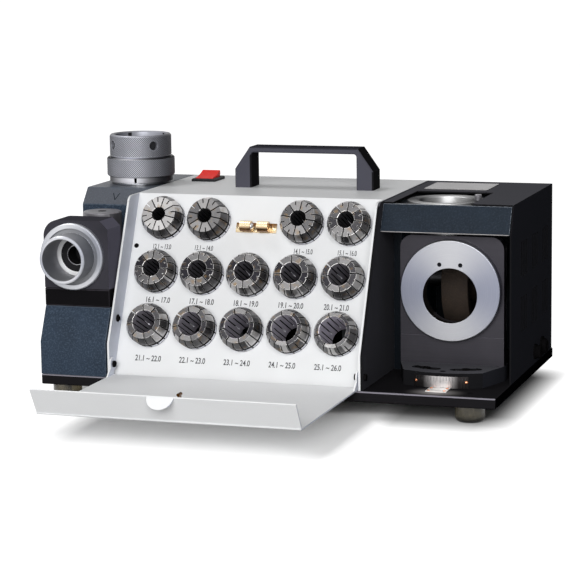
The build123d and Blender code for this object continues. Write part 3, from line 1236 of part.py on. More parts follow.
def all_parts():
    parts = {
        "base_plate": base_plate(), "feet": feet(),
        "cap_screws": cap_screws(), "panel_screws": panel_screws(),
        "left_casting": left_casting(), "left_port_ring": left_port_ring(),
        "chuck_body": chuck_body(), "chuck_nut": chuck_nut(),
        "setting_shelf": setting_shelf(), "setting_block": setting_block(),
        "setting_flange": setting_flange(), "setting_stop": setting_stop(), "setting_post": setting_post(),
        "casing": casing(), "collet_rack": collet_rack(),
        "lid": lid(), "lid_strike": lid_strike(), "lid_hinge_screws": lid_hinge_screws(),
        "catch_body": catch_body(), "catch_ball_left": catch_ball(-1), "catch_ball_right": catch_ball(1),
        "handle": handle(), "switch_bezel": switch_bezel(), "switch_rocker": switch_rocker(),
        "bay_wall": bay_wall(), "right_cover": right_cover(), "right_casting": right_casting(),
        "right_port_ring": right_port_ring(), "port_stop_pin": port_stop_pin(), "blank_plate": blank_plate(),
        "cord_gland": cord_gland(), "fuse_holder": fuse_holder(), "rear_panel": rear_panel(),
        "web_plate": web_plate(), "web_ring": web_ring(), "swivel_block": swivel_block(),
        "scale_strip": scale_strip(), "scale_rivets": scale_rivets(),
        "index_plate": index_plate(), "index_rivets": index_rivets(),
        "motor_body": motor_body(), "motor_bearings": motor_bearings(), "rotor_shaft": rotor_shaft(),
        "left_wheel": grinding_wheel(CHUCK_X), "right_wheel": grinding_wheel(RIGHT_WHEEL_X),
    }
    for size, (x, drop) in zip(COLLET_SIZES, collet_places()):
        turn = Rot(0, 0, COLLET_TURN * size)
        parts[f"collet_{size}_mm"] = on_panel(x, drop) * turn * collet(size)
    return parts


os.makedirs("parts", exist_ok=True)
for name, shape in all_parts().items():
    if isinstance(shape, list):
        shape = Compound(children=shape)
    export_step(shape, f"parts/{name}.step")
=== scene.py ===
import json
import math
import random

import bmesh
import bpy
from mathutils import Matrix, Vector

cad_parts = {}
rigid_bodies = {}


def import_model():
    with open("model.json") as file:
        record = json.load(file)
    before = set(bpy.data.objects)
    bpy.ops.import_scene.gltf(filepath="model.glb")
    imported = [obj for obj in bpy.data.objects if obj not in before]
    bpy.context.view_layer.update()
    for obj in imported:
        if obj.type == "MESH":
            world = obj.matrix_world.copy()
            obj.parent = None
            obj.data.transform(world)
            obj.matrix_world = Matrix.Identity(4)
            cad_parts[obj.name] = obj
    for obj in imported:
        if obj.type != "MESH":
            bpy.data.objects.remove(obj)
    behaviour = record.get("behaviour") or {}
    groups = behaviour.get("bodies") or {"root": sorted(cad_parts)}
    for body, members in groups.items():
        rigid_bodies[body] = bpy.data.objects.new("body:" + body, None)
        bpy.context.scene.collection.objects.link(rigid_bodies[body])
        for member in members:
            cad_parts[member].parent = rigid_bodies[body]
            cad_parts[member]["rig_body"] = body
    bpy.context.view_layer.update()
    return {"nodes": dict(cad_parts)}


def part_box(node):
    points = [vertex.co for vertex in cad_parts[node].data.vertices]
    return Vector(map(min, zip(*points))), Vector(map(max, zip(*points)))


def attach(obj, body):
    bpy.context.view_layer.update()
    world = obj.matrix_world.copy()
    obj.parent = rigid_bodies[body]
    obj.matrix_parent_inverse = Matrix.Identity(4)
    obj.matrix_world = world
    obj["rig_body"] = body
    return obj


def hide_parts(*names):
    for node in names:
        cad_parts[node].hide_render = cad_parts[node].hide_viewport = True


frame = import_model()

# Bench drill bit grinder, in metres
MM = 0.001
LYING = (math.radians(90), 0, 0)
ACROSS = (0, math.radians(90), 0)

# Meshes: corners that are one, faces that are flat, edges that are sharp and edges that shade as a curve
SAME_PLACE = 2e-6
FLAT = math.radians(0.5)
SHARP = math.radians(35)
SMOOTH = math.radians(50)
MARKS = ("edge", "upward", "sideways", "shaded", "bored", "tone")

# Sloped panel: its lean from upright, and the fold along its top
PANEL_LEAN = math.radians(24.6)
FOLD_Y = 55.97 * MM
LABEL_LIFT = 0.06 * MM

# Collets: how bright the front faces are, as painted reflection and sheen, and the groove behind the cone
FIRST_ROW_REFLECTION = {13: 0.5, 14: 0.2, 15: 0.12, 16: 0.02}
OTHER_ROW_REFLECTION = -0.02
LIP_SHEEN = 0.3
LIP_DEGREES = 22.5
GROOVE_LOW = 5.0 * MM
GROOVE_TOP = 8.75 * MM

# Chuck: knurling, tommy bar holes and the index notch, with angles in degrees for the notch
KNURL_PITCH = 2.1 * MM
KNURL_DEPTH = 0.45 * MM
TOMMY_RISE = 12.5 * MM
TOMMY_R = 4.6 * MM
TOMMY_BOTTOM = 20 * MM
TOMMY_CLEAR_R = 5.2 * MM
TOMMY_ANGLES = [math.radians(47 - 90 + 90 * turn) for turn in range(4)]
NOTCH_ANGLE = 11.5
NOTCH_HALF = 2.6
NOTCH_FLOOR = 29.0 * MM
NOTCH_RISE = 1.5 * MM

# Small turned rings: reach from the axis and rise along it, in millimetres
HOLE_RIM = [(4.42, -0.7), (4.5, -0.15), (5.0, 0.3), (5.6, 0.34), (5.75, 0.0)]
STOP_BUSH = [(9.25, 0.6), (9.25, -0.15), (9.85, -0.15), (9.85, 0.2)]

# Setting tube: radii of its outer wall, its shoulder and the dish round it, and how deep the last two lie
TUBE_WALL_R = 31 * MM
SHOULDER_R = 22 * MM
SHOULDER_DEPTH = 5 * MM
DISH_INNER_R = 23.3 * MM
DISH_OUTER_R = 27.4 * MM
DISH_DEPTH = 20 * MM

# Pointer on the tower's sloped front
POINTER = Vector((-191.5, 83.97, 185.75)) * MM
POINTER_REACH = 7 * MM
POINTER_DEPTH = 0.05 * MM
SLOPE = math.atan2(14.0, 15.5)

# Painted reflection spot on the base: its half sizes
REFLECTION_SPOT_SIZE = (32 * MM, 20 * MM, 1.0)

# Swivel scale
SWIVEL_R = 85.0 * MM
GRADUATION = math.radians(2.0)
LONG_MARK = 5.5 * MM
SHORT_MARK = 3.4 * MM


def ink(red, green, blue):
    """A colour as seen on a screen, turned into the shader's own scale."""
    def channel(value):
        value /= 255
        return value / 12.92 if value <= 0.04045 else ((value + 0.055) / 1.055) ** 2.4
    return (channel(red), channel(green), channel(blue), 1.0)


def shade(colour, factor):
    return tuple(channel * factor for channel in colour[:3]) + (1.0,)


# Finishes
class Sock:
    """An output of a finish's nodes that is worked with like a number."""

    def __init__(self, finish, socket):
        self.finish = finish
        self.socket = socket

    def maths(self, operation, *values):
        return self.finish.node("ShaderNodeMath", {"operation": operation}, dict(enumerate(values)))

    def __add__(self, other):
        return self.maths("ADD", self, other)

    __radd__ = __add__

    def __sub__(self, other):
        return self.maths("SUBTRACT", self, other)

    def __rsub__(self, other):
        return self.maths("SUBTRACT", other, self)

    def __mul__(self, other):
        return self.maths("MULTIPLY", self, other)

    __rmul__ = __mul__

    def __truediv__(self, other):
        return self.maths("DIVIDE", self, other)

    def over(self, low, high):
        """Zero below low, one above high and a straight run between."""
        return self.finish.node("ShaderNodeMapRange", {"clamp": True}, {0: self, 1: low, 2: high})


class Finish:
    """A material in the making: its nodes and the shader that they feed."""

    def __init__(self, name, **constants):
        self.material = bpy.data.materials.new(name)
        self.material.use_nodes = True
        self.tree = self.material.node_tree
        self.shader = self.tree.nodes["Principled BSDF"]
        for socket, value in constants.items():
            self.shader.inputs[socket.replace("_", " ")].default_value = value

    def node(self, kind, settings=None, inputs=None, output=0):
        made = self.tree.nodes.new(kind)
        for name, value in (settings or {}).items():
            setattr(made, name, value)
        for key, value in (inputs or {}).items():
            self.feed(made.inputs[key], value)
        return Sock(self, made.outputs[output])

    def feed(self, socket, value):
        if isinstance(value, Sock):
            self.tree.links.new(value.socket, socket)
        else:
            socket.default_value = value

    def place(self, size=(1, 1, 1), centre=(0, 0, 0), turn=(0, 0, 0)):
        """Places on the object, counted from centre in steps of size."""
        spot = self.node("ShaderNodeTexCoord", output="Object")
        return self.node("ShaderNodeMapping", {"vector_type": "TEXTURE"},
                         {"Vector": spot, "Location": centre, "Rotation": turn, "Scale": size})

    def noise(self, size, detail=2.0):
        sizes = size if isinstance(size, tuple) else (size, size, size)
        return self.node("ShaderNodeTexNoise", {"noise_dimensions": "3D"},
                         {"Vector": self.place(sizes), "Scale": 1.0, "Detail": detail})

    def cells(self, size):
        return self.node("ShaderNodeTexVoronoi", {"feature": "F1"},
                         {"Vector": self.place((size, size, size)), "Scale": 1.0})

    def reach(self, centre, turn):
        """Distance from an axis through centre, which turn tips from upright."""
        spot = self.place(centre=centre, turn=turn)
        flat = self.node("ShaderNodeVectorMath", {"operation": "MULTIPLY"}, {0: spot, 1: (1, 1, 0)})
        return self.node("ShaderNodeVectorMath", {"operation": "LENGTH"}, {0: flat}, "Value")

    def along(self, centre, direction):
        """Distance from centre, counted in one direction."""
        spot = self.place(centre=centre)
        return self.node("ShaderNodeVectorMath", {"operation": "DOT_PRODUCT"}, {0: spot, 1: direction},
                         "Value")

    def rings(self, reach, size):
        return self.node("ShaderNodeTexNoise", {"noise_dimensions": "1D"},
                         {"W": reach / size, "Scale": 1.0, "Detail": 3.0})

    def mark(self, name):
        """The number that a piece's faces or corners carry under that name."""
        return self.node("ShaderNodeAttribute", {"attribute_name": name}, output="Fac")

    def mix(self, factor, first, second):
        return self.node("ShaderNodeMix", {"data_type": "RGBA"}, {0: factor, 6: first, 7: second}, 2)

    def colour(self, value):
        self.feed(self.shader.inputs["Base Color"], value)

    def rough(self, value):
        self.feed(self.shader.inputs["Roughness"], value)

    def metal(self, value):
        self.feed(self.shader.inputs["Metallic"], value)

    def bump(self, height, distance, strength=1.0):
        normal = self.node("ShaderNodeBump", None,
                           {"Strength": strength, "Distance": distance, "Height": height})
        self.feed(self.shader.inputs["Normal"], normal)


def powder_coat(name, colour, roughness, peel, depth, cloud=0.05, gloss=0.5, wear_and_highlight=1.0, top_dust_and_light=1.0,
                right_face_light=(1, 1, 1)):
    """Sprayed paint: orange peel, soft clouding, wear and a painted highlight on edges, dusting and painted
    light on tops, painted light on right faces.
    """
    f = Finish(name, Specular_IOR_Level=gloss)
    patches = f.noise(0.06, 3.0)
    skin = f.noise(peel, 2.0)
    coat = f.mix(patches.over(0.3, 0.7), shade(colour, 1 - cloud), shade(colour, 1 + cloud))
    # Upper faces: dusting, with painted light and shade from above, set by a factor
    dust_and_top_light = f.mix(f.mark("upward"), coat, shade(colour, top_dust_and_light))
    # Right-facing faces: painted light and shade, as a tint
    side = f.mix(f.mark("sideways"), dust_and_top_light, tuple(a * b for a, b in zip(colour, right_face_light)) + (1.0,))
    # Edges: wear in patches, and a painted highlight where they catch light
    f.colour(f.mix(f.mark("edge") * f.noise(6 * MM, 3.0).over(0.2, 0.5), side, shade(colour, wear_and_highlight)))
    f.rough(roughness + 0.16 * (skin - 0.5) + 0.10 * (patches - 0.5))
    f.bump(skin, depth)
    return f.material


def black_coat(name, colour, roughness, gloss, wear_and_highlight, top_dust_and_light, cloud=0.15, right_face_light=(1, 1, 1)):
    """Black machine paint, which takes light differently from piece to piece."""
    return powder_coat(name, colour, roughness, 0.7 * MM, 0.03 * MM, cloud, gloss, wear_and_highlight, top_dust_and_light, right_face_light)


def hammered_paint(name, colour, light, pale, dust_and_top_light):
    """Thick casting paint: rounded blisters with paler tops, a slow cloud, wear and a painted highlight on
    edges, dusting and painted light on upper faces, and painted shade where marked.
    """
    f = Finish(name, Specular_IOR_Level=0.1)
    blister = f.noise(1.5 * MM, 3.0)
    patches = f.noise(30 * MM, 3.0)
    tops = blister.over(0.47, 0.7)
    base = f.mix(patches.over(0.3, 0.7), shade(colour, 0.8), shade(colour, 1.2))
    coat = f.mix(tops * 0.8, base, light)
    # Upper faces: dusting and painted light from above
    top_dust_and_light = f.mix(f.mark("upward") * 0.65, coat, dust_and_top_light)
    # Edges: wear in patches, and a painted highlight where they catch light
    rubbed_and_lit_edge = f.mix(f.mark("edge") * f.noise(4 * MM, 3.0).over(0.3, 0.6), top_dust_and_light, pale)
    # Marked faces: painted shade
    f.colour(f.mix(f.mark("shaded"), rubbed_and_lit_edge, shade(colour, 0.25)))
    f.rough(0.46 - 0.14 * tops + 0.14 * (patches - 0.5))
    f.bump(blister, 0.2 * MM)
    return f.material


def moulded_black(name, colour, roughness, grain, gloss=0.15):
    """Moulded plastic with a fine spark eroded grain."""
    f = Finish(name, Specular_IOR_Level=gloss)
    pits = f.cells(grain)
    wear = f.noise(25 * MM, 4.0)
    f.colour(f.mix(wear.over(0.35, 0.75), colour, shade(colour, 1.35)))
    f.rough(roughness + 0.12 * (wear - 0.5) + 0.08 * pits)
    f.bump(pits, 0.05 * MM, 0.6)
    return f.material


def brushed_steel(name, dark, light, roughness, along, metallic, gloss=0.1, rubbed_and_lit_edge=2.2, side=0.2,
                  reflection_spot=None):
    """Ground or brushed plate with its scratches along one axis, painted shade on right faces, a painted
    highlight on edges and, if asked, one painted reflection spot.
    """
    f = Finish(name, Metallic=metallic, Specular_IOR_Level=gloss)
    sizes = [0.35 * MM, 0.35 * MM, 0.35 * MM]
    sizes[along] = 45 * MM
    lines = f.noise(tuple(sizes), 4.0)
    stain = f.noise(30 * MM, 4.0)
    plate = f.mix(0.55 * lines + 0.45 * stain, dark, light)
    # A painted reflection: a bright patch on the upper faces round one spot
    if reflection_spot is not None:
        spot = f.place(REFLECTION_SPOT_SIZE, reflection_spot)
        far = f.node("ShaderNodeVectorMath", {"operation": "LENGTH"}, {0: spot}, "Value")
        near = 1.0 - far.over(0.0, 1.0)
        wear_and_highlight = near * near * f.mark("upward") * lines.over(0.1, 0.5) * 0.75
        plate = f.mix(wear_and_highlight, plate, ink(226, 220, 218))
    # Right-facing faces: painted shade
    flank = f.mix(f.mark("sideways"), plate, shade(dark, side))
    # Edges: a painted highlight
    f.colour(f.mix(f.mark("edge"), flank, shade(light, rubbed_and_lit_edge)))
    f.rough(roughness + 0.22 * (lines - 0.5) + 0.16 * (stain - 0.5))
    f.bump(lines, 0.03 * MM)
    return f.material


def turned_metal(name, dark, light, roughness, centre, turn=(0, 0, 0), sheen=(0, 1, 0), top_shade=0.0,
                 metallic=1.0, gloss=0.2, narrow=False):
    """Metal from the lathe: fine tool marks, a painted sheen to two sides, a slow stain, painted shade in
    hollows and on tops, and a painted highlight where toned.
    """
    f = Finish(name, Specular_IOR_Level=gloss)
    reach = f.reach(centre, turn)
    marks = f.rings(reach, 0.5 * MM)
    stain = f.noise(22 * MM, 3.0)
    shaded = f.mark("shaded")
    # Painted shade: in marked hollows, and on upper faces by a factor
    painted_shade_amount = shaded.maths("MAXIMUM", shaded, top_shade * f.mark("upward"))
    side = f.along(centre, sheen) / reach
    lobe = side * side
    if narrow:
        lobe = lobe * lobe * lobe
    bare = f.mix(lobe * (0.9 + 0.5 * (stain - 0.5)) + 0.5 * (marks - 0.5), dark, light)
    # Toned faces: a painted highlight
    pale = f.mix(f.mark("tone"), bare, ink(248, 248, 248))
    f.colour(f.mix(painted_shade_amount, pale, shade(dark, 0.12)))
    f.metal(metallic * (1.0 - 0.9 * painted_shade_amount))
    f.rough(roughness + 0.14 * (marks - 0.5) + 0.08 * (stain - 0.5) + 0.3 * painted_shade_amount)
    f.bump(marks, 0.02 * MM)
    return f.material


def faced_ring(name, dark, light, roughness, centre):
    """Face turned in the lathe: fine rings, with a sheen that runs up and down from the middle."""
    f = Finish(name, Metallic=1.0)
    reach = f.reach(centre, LYING)
    marks = f.rings(reach, 0.5 * MM)
    height = f.along(centre, (0, 0, 1))
    sheen = (height / reach) * (height / reach)
    face = f.mix(0.75 * sheen + 0.5 * (marks - 0.5), dark, light)
    f.colour(f.mix(f.mark("shaded"), face, shade(dark, 0.03)))
    f.rough(roughness + 0.14 * (marks - 0.5))
    f.bump(marks, 0.02 * MM)
    return f.material


def collet_steel(name):
    """Ground spring steel: lips toned as painted reflection, amber oil tints, painted light in the bore,
    painted highlights on edges and body, painted shade in slits and groove.
    """
    f = Finish(name)
    grit = f.noise(0.4 * MM, 3.0)
    oil = f.noise(6 * MM, 4.0)
    bored, painted_shade, tone, body = (f.mark(mark) for mark in ("bored", "shaded", "tone", "upward"))
    # Lips: a tone of painted reflection
    lip = f.mix(tone + 0.34 * (grit - 0.5), ink(38, 37, 42), ink(206, 204, 203))
    tinted = f.mix(oil.over(0.56, 0.74) * 0.6, lip, ink(134, 106, 62))
    # Edges: a painted highlight
    bright = f.mix(f.mark("edge") * 0.9, tinted, ink(240, 238, 236))
    # Body behind the groove: a painted highlight
    plain = f.mix(body, bright, ink(226, 226, 234))
    # Bore: painted light, darker in narrow bores and paler in wide ones
    skin = f.mix(bored, plain, f.mix(tone * tone, ink(14, 14, 15), ink(196, 191, 203)))
    # Slits and groove: painted shade
    f.colour(f.mix(painted_shade, skin, ink(8, 8, 8)))
    f.metal(0.9 - 0.7 * bored - 0.8 * painted_shade - 0.6 * body)
    f.rough(0.34 + 0.2 * (grit - 0.5) + 0.14 * (oil - 0.5) + 0.3 * bored + 0.3 * painted_shade)
    f.bump(grit, 0.02 * MM)
    return f.material


def bright_metal(name, colour, roughness):
    """Small bright fittings with a little tarnish."""
    f = Finish(name, Metallic=1.0)
    tarnish = f.noise(3 * MM, 4.0)
    f.colour(f.mix(tarnish.over(0.45, 0.8), colour, shade(colour, 0.62)))
    f.rough(roughness + 0.2 * (tarnish - 0.4))
    f.bump(f.noise(0.5 * MM, 2.0), 0.004 * MM)
    return f.material


def polished_strip(name, centre):
    """Etched steel strip: drawn lines, with a painted reflection bright in the middle and dark towards its
    ends.
    """
    f = Finish(name, Metallic=0.8, Specular_IOR_Level=0.1)
    lines = f.noise((0.5 * MM, 0.5 * MM, 40 * MM), 3.0)
    across = f.along(centre, (1, 0, 0))
    end = across.maths("ABSOLUTE", across).over(7 * MM, 17 * MM)
    bright = f.mix(lines, ink(158, 155, 156), ink(214, 210, 209))
    dark = f.mix(lines, ink(34, 32, 33), ink(58, 55, 55))
    f.colour(f.mix(end, bright, dark))
    f.rough(0.3 + 0.2 * (lines - 0.5))
    f.bump(lines, 0.02 * MM)
    return f.material


def rocker_plastic(name):
    """Red moulding with a fine speck."""
    f = Finish(name, Specular_IOR_Level=0.08)
    speck = f.noise(0.5 * MM, 2.0)
    f.colour(f.mix(speck.over(0.3, 0.7), ink(216, 34, 25), ink(232, 44, 34)))
    f.rough(0.4 + 0.1 * (speck - 0.5))
    f.bump(speck, 0.01 * MM)
    return f.material


def smoky_foot(name):
    """Clear smoked plastic, streaked by the mould, with painted shade darkening it towards the bench."""
    f = Finish(name, IOR=1.46, Transmission_Weight=0.65)
    streak = f.noise((3 * MM, 3 * MM, 9 * MM), 3.0)
    # Painted shade near the bench
    low = (8 * MM - f.along(Vector(), (0, 0, 1))).over(0, 6 * MM)
    smoke = f.mix(streak.over(0.3, 0.7), ink(76, 70, 56), ink(122, 114, 92))
    f.colour(f.mix(low, smoke, ink(14, 14, 12)))
    f.rough(0.06 + 0.08 * streak)
    f.bump(streak, 0.05 * MM)
    return f.material


def abrasive(name):
    """Bonded grit: pale grains in a brown bond."""
    f = Finish(name)
    grains = f.cells(0.7 * MM)
    bond = f.noise(9 * MM, 4.0)
    speck = f.noise(0.6 * MM, 1.0)
    base = f.mix(bond.over(0.3, 0.7), ink(36, 26, 18), ink(48, 36, 27))
    f.colour(f.mix(speck.over(0.6, 0.75), base, ink(78, 64, 51)))
    f.rough(0.8 + 0.15 * (bond - 0.5))
    f.bump(grains, 0.3 * MM)
    return f.material


def printed_ink(name):
    """Dark print, thinned a little by wear."""
    f = Finish(name)
    wear = f.noise(0.8 * MM, 3.0)
    f.colour(f.mix(wear.over(0.4, 0.8), ink(40, 40, 43), ink(66, 66, 70)))
    f.rough(0.55 + 0.1 * (wear - 0.5))
    return f.material


# Axes of the turned pieces, and the panel's own frame
def middle(node):
    low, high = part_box(node)
    return (low + high) / 2


chuck_axis = middle("chuck_nut")
web_axis = middle("web_ring")
setting_axis = middle("setting_flange")
relief_axis = middle("right_port_ring")
catch_axis = middle("catch_body")


def panel_place():
    """The panel's frame: across, up the slope and out of it, from the middle of the fold."""
    low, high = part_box("casing")
    origin = Vector(((low.x + high.x) / 2, FOLD_Y, high.z))
    up = Vector((0, math.sin(PANEL_LEAN), math.cos(PANEL_LEAN)))
    out = Vector((0, -math.cos(PANEL_LEAN), math.sin(PANEL_LEAN)))
    turn = Matrix((Vector((1, 0, 0)), up, out)).transposed().to_4x4()
    return Matrix.Translation(origin) @ turn


PANEL = panel_place()

finishes = {
    "white_powder": powder_coat("white_powder_coat", ink(222, 223, 224), 0.52, 0.9 * MM, 0.02 * MM, 0.015,
                                0.4, top_dust_and_light=0.88, right_face_light=(0.76, 0.79, 0.89)),
    # The lid takes a lighter copy of the casing's white, as painted light
    "lid_powder": powder_coat("white_lid_coat", ink(227, 228, 229), 0.52, 0.9 * MM, 0.02 * MM, 0.015, 0.4,
                              top_dust_and_light=1.06, right_face_light=(0.86, 0.89, 1.0)),
    "slate_blue_paint": hammered_paint("slate_blue_casting_paint", ink(41, 52, 66), ink(68, 82, 98),
                                       ink(74, 84, 96), ink(87, 89, 95)),
    "visor_paint": hammered_paint("slate_blue_visor_paint", ink(24, 33, 43), ink(36, 46, 58),
                                  ink(150, 156, 166), ink(84, 86, 91)),
    # The black paints are copies of one paint, set lighter and darker for each part as painted light and
    # shade
    "black_paint": black_coat("satin_black_paint", ink(23, 23, 26), 0.5, 0.08, 7.0, 3.2),
    "block_black": black_coat("dull_block_paint", ink(58, 57, 63), 0.6, 0.0, 1.2, 1.2, 0.2, (2.8, 2.8, 3.0)),
    "bay_black": black_coat("matt_black_bay_paint", ink(25, 25, 27), 0.7, 0.0, 1.4, 9.0,
                            right_face_light=(5.0, 5.0, 5.2)),
    "shelf_black": black_coat("dull_black_shelf_paint", ink(14, 13, 15), 0.6, 0.03, 9.0, 6.0),
    "cover_black": black_coat("matt_black_cover_paint", ink(25, 25, 27), 0.7, 0.0, 1.4, 9.0,
                              right_face_light=(2.5, 2.6, 2.9)),
    "base_black": brushed_steel("blackened_base", ink(24, 23, 24), ink(36, 35, 38), 0.4, 0, 0.0, 0.0, 14.0,
                                reflection_spot=middle("index_plate") - Vector((0, 8 * MM, 0))),
    "grey_black_steel": brushed_steel("blackened_plate", ink(44, 43, 47), ink(66, 64, 70), 0.42, 0, 0.4),
    "post_steel": brushed_steel("dull_post_steel", ink(98, 97, 102), ink(136, 134, 138), 0.36, 2, 0.5,
                                rubbed_and_lit_edge=1.9, side=0.6),
    "satin_aluminium": faced_ring("turned_aluminium", ink(118, 121, 134), ink(170, 170, 172), 0.4, web_axis),
    "setting_aluminium": turned_metal("turned_setting_tube", ink(158, 161, 170), ink(204, 205, 209), 0.34,
                                      setting_axis, LYING, (-0.34, 0, 0.94), metallic=0.6),
    "chuck_steel": turned_metal("turned_chuck_steel", ink(88, 89, 96), ink(214, 216, 226), 0.3, chuck_axis,
                                metallic=0.5),
    "collar_steel": turned_metal("turned_collar_steel", ink(34, 34, 38), ink(226, 226, 232), 0.3, chuck_axis,
                                 metallic=0.4, gloss=0.0, narrow=True),
    "polished_steel": turned_metal("polished_port_steel", ink(34, 35, 39), ink(216, 218, 224), 0.14,
                                   chuck_axis, gloss=0.0, narrow=True),
    "relief_steel": turned_metal("turned_relief_port", ink(52, 52, 56), ink(250, 250, 250), 0.36,
                                 relief_axis, top_shade=0.5, metallic=0.8, gloss=0.0),
    "ground_steel": collet_steel("ground_collet_steel"),
    "black_plastic": moulded_black("black_moulding", ink(22, 22, 24), 0.5, 0.6 * MM),
    "handle_black": powder_coat("black_handle_moulding", ink(77, 77, 86), 0.42, 0.5 * MM, 0.02 * MM, 0.05,
                                0.0, 1.1, 0.44, (0.2, 0.19, 0.17)),
    "rocker_red": rocker_plastic("red_rocker_plastic"),
    "brass": turned_metal("turned_brass", ink(112, 72, 32), ink(248, 228, 190), 0.2, catch_axis, ACROSS,
                          (0, -0.62, 0.78)),
    "bright_steel": bright_metal("bright_steel", ink(206, 206, 208), 0.18),
    "black_screws": moulded_black("blackened_screws", ink(18, 17, 18), 0.4, 0.4 * MM, 0.0),
    "foot_plastic": smoky_foot("smoked_foot"),
    "copper": bright_metal("copper_rivets", ink(224, 150, 112), 0.24),
    "bare_plate": brushed_steel("bare_aluminium_plate", ink(118, 116, 118), ink(150, 148, 148), 0.36, 0,
                                0.5),
    "scale_steel": polished_strip("etched_scale_steel", web_axis),
    "index_steel": brushed_steel("bright_index_plate", ink(214, 212, 208), ink(240, 238, 234), 0.45, 0, 0.3,
                                 rubbed_and_lit_edge=1.0),
    "abrasive_brown": abrasive("brown_grinding_wheel"),
    "motor_grey": powder_coat("motor_grey_paint", ink(96, 100, 104), 0.5, 0.8 * MM, 0.04 * MM, 0.1),
    "shaft_steel": bright_metal("shaft_steel", ink(70, 70, 72), 0.45),
    "printed_ink": printed_ink("printed_numbers"),
}

# Which finish each solid takes, and how far its edges are broken
COLLETS = [f"collet_{size}_mm" for size in range(13, 27)]
dressed = {
    "base_plate": ("base_black", 0.4), "feet": ("foot_plastic", 0), "cap_screws": ("black_screws", 0),
    "panel_screws": ("black_screws", 0), "left_casting": ("slate_blue_paint", 0.8),
    "left_port_ring": ("polished_steel", 0.2), "chuck_body": ("collar_steel", 0.15),
    "chuck_nut": ("chuck_steel", 0.15), "setting_shelf": ("shelf_black", 0.3),
    "setting_block": ("block_black", 0.5), "setting_flange": ("setting_aluminium", 0.15),
    "setting_stop": ("black_plastic", 0.15), "setting_post": ("post_steel", 0.5),
    "casing": ("white_powder", 0.45), "collet_rack": ("black_plastic", 0), "lid": ("lid_powder", 0.4),
    "lid_strike": ("brass", 0.15), "lid_hinge_screws": ("black_screws", 0),
    "catch_body": ("brass", 0.15), "catch_ball_left": ("bright_steel", 0),
    "catch_ball_right": ("bright_steel", 0), "handle": ("handle_black", 0.4),
    "switch_bezel": ("black_plastic", 0.3), "switch_rocker": ("rocker_red", 0.4),
    "bay_wall": ("bay_black", 0.4), "right_cover": ("cover_black", 0.4),
    "right_casting": ("visor_paint", 0.9), "right_port_ring": ("relief_steel", 0.2),
    "port_stop_pin": ("post_steel", 0), "blank_plate": ("bare_plate", 0.1),
    "cord_gland": ("black_screws", 0.2), "fuse_holder": ("black_screws", 0.2),
    "rear_panel": ("black_paint", 0.3), "web_plate": ("grey_black_steel", 0.4),
    "web_ring": ("satin_aluminium", 0.3), "swivel_block": ("cover_black", 0.4),
    "scale_strip": ("scale_steel", 0.1), "scale_rivets": ("copper", 0),
    "index_plate": ("index_steel", 0.1), "index_rivets": ("copper", 0),
    "motor_body": ("motor_grey", 0.5), "motor_bearings": ("bright_steel", 0),
    "rotor_shaft": ("shaft_steel", 0), "left_wheel": ("abrasive_brown", 0.3),
    "right_wheel": ("abrasive_brown", 0.3),
}
dressed.update({node: ("ground_steel", 0.12) for node in COLLETS})


def body_of(node):
    return frame["nodes"][node]["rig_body"]


def add_piece(name, bm, body, finish, stands_for=()):
    """Put a finished mesh in the scene, on the body that carries it."""
    mesh = bpy.data.meshes.new(name)
    bm.to_mesh(mesh)
    bm.free()
    for polygon in mesh.polygons:
        polygon.use_smooth = True
    mesh.set_sharp_from_angle(angle=SMOOTH)
    mesh.materials.append(finishes[finish])
    made = bpy.data.objects.new(name, mesh)
    bpy.context.scene.collection.objects.link(made)
    even = made.modifiers.new("even_normals", "WEIGHTED_NORMAL")
    even.keep_sharp = True
    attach(made, body)
    if stands_for:
        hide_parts(*stands_for)


def face_marks(bm, *names):
    return [bm.faces.layers.float[name] for name in names]


def softened(node, finish, width):
    """A solid with its sharp edges broken, in place of the plain one."""
    bm = bmesh.new()
    bm.from_mesh(frame["nodes"][node].data)
    bmesh.ops.remove_doubles(bm, verts=bm.verts, dist=SAME_PLACE)
    bmesh.ops.dissolve_limit(bm, angle_limit=FLAT, verts=bm.verts, edges=bm.edges)
    for mark in MARKS:
        bm.faces.layers.float.new(mark)
    edge_mark, upward, sideways = face_marks(bm, "edge", "upward", "sideways")
    sharp = [edge for edge in bm.edges if edge.is_manifold and edge.calc_face_angle() > SHARP
             and edge.calc_length() > 3 * width * MM and not on_pointer(edge.verts[0].co)]
    broken = bmesh.ops.bevel(bm, geom=sharp, offset=width * MM, offset_type="OFFSET", affect="EDGES",
                             segments=2, profile=0.5, material=-1, clamp_overlap=True)
    for face in broken["faces"]:
        face[edge_mark] = 1.0
    # Upper and right-facing faces, which the finishes give dusting and painted light and shade
    for face in bm.faces:
        face[upward] = float(face.normal.z > 0.6)
        face[sideways] = float(face.normal.x > 0.7)
    if node in COLLETS:
        mark_collet(bm, int(node.split("_")[1]))
    elif node in MARKERS:
        MARKERS[node](bm)
    add_piece(node + "_finished", bm, body_of(node), finish, (node,))


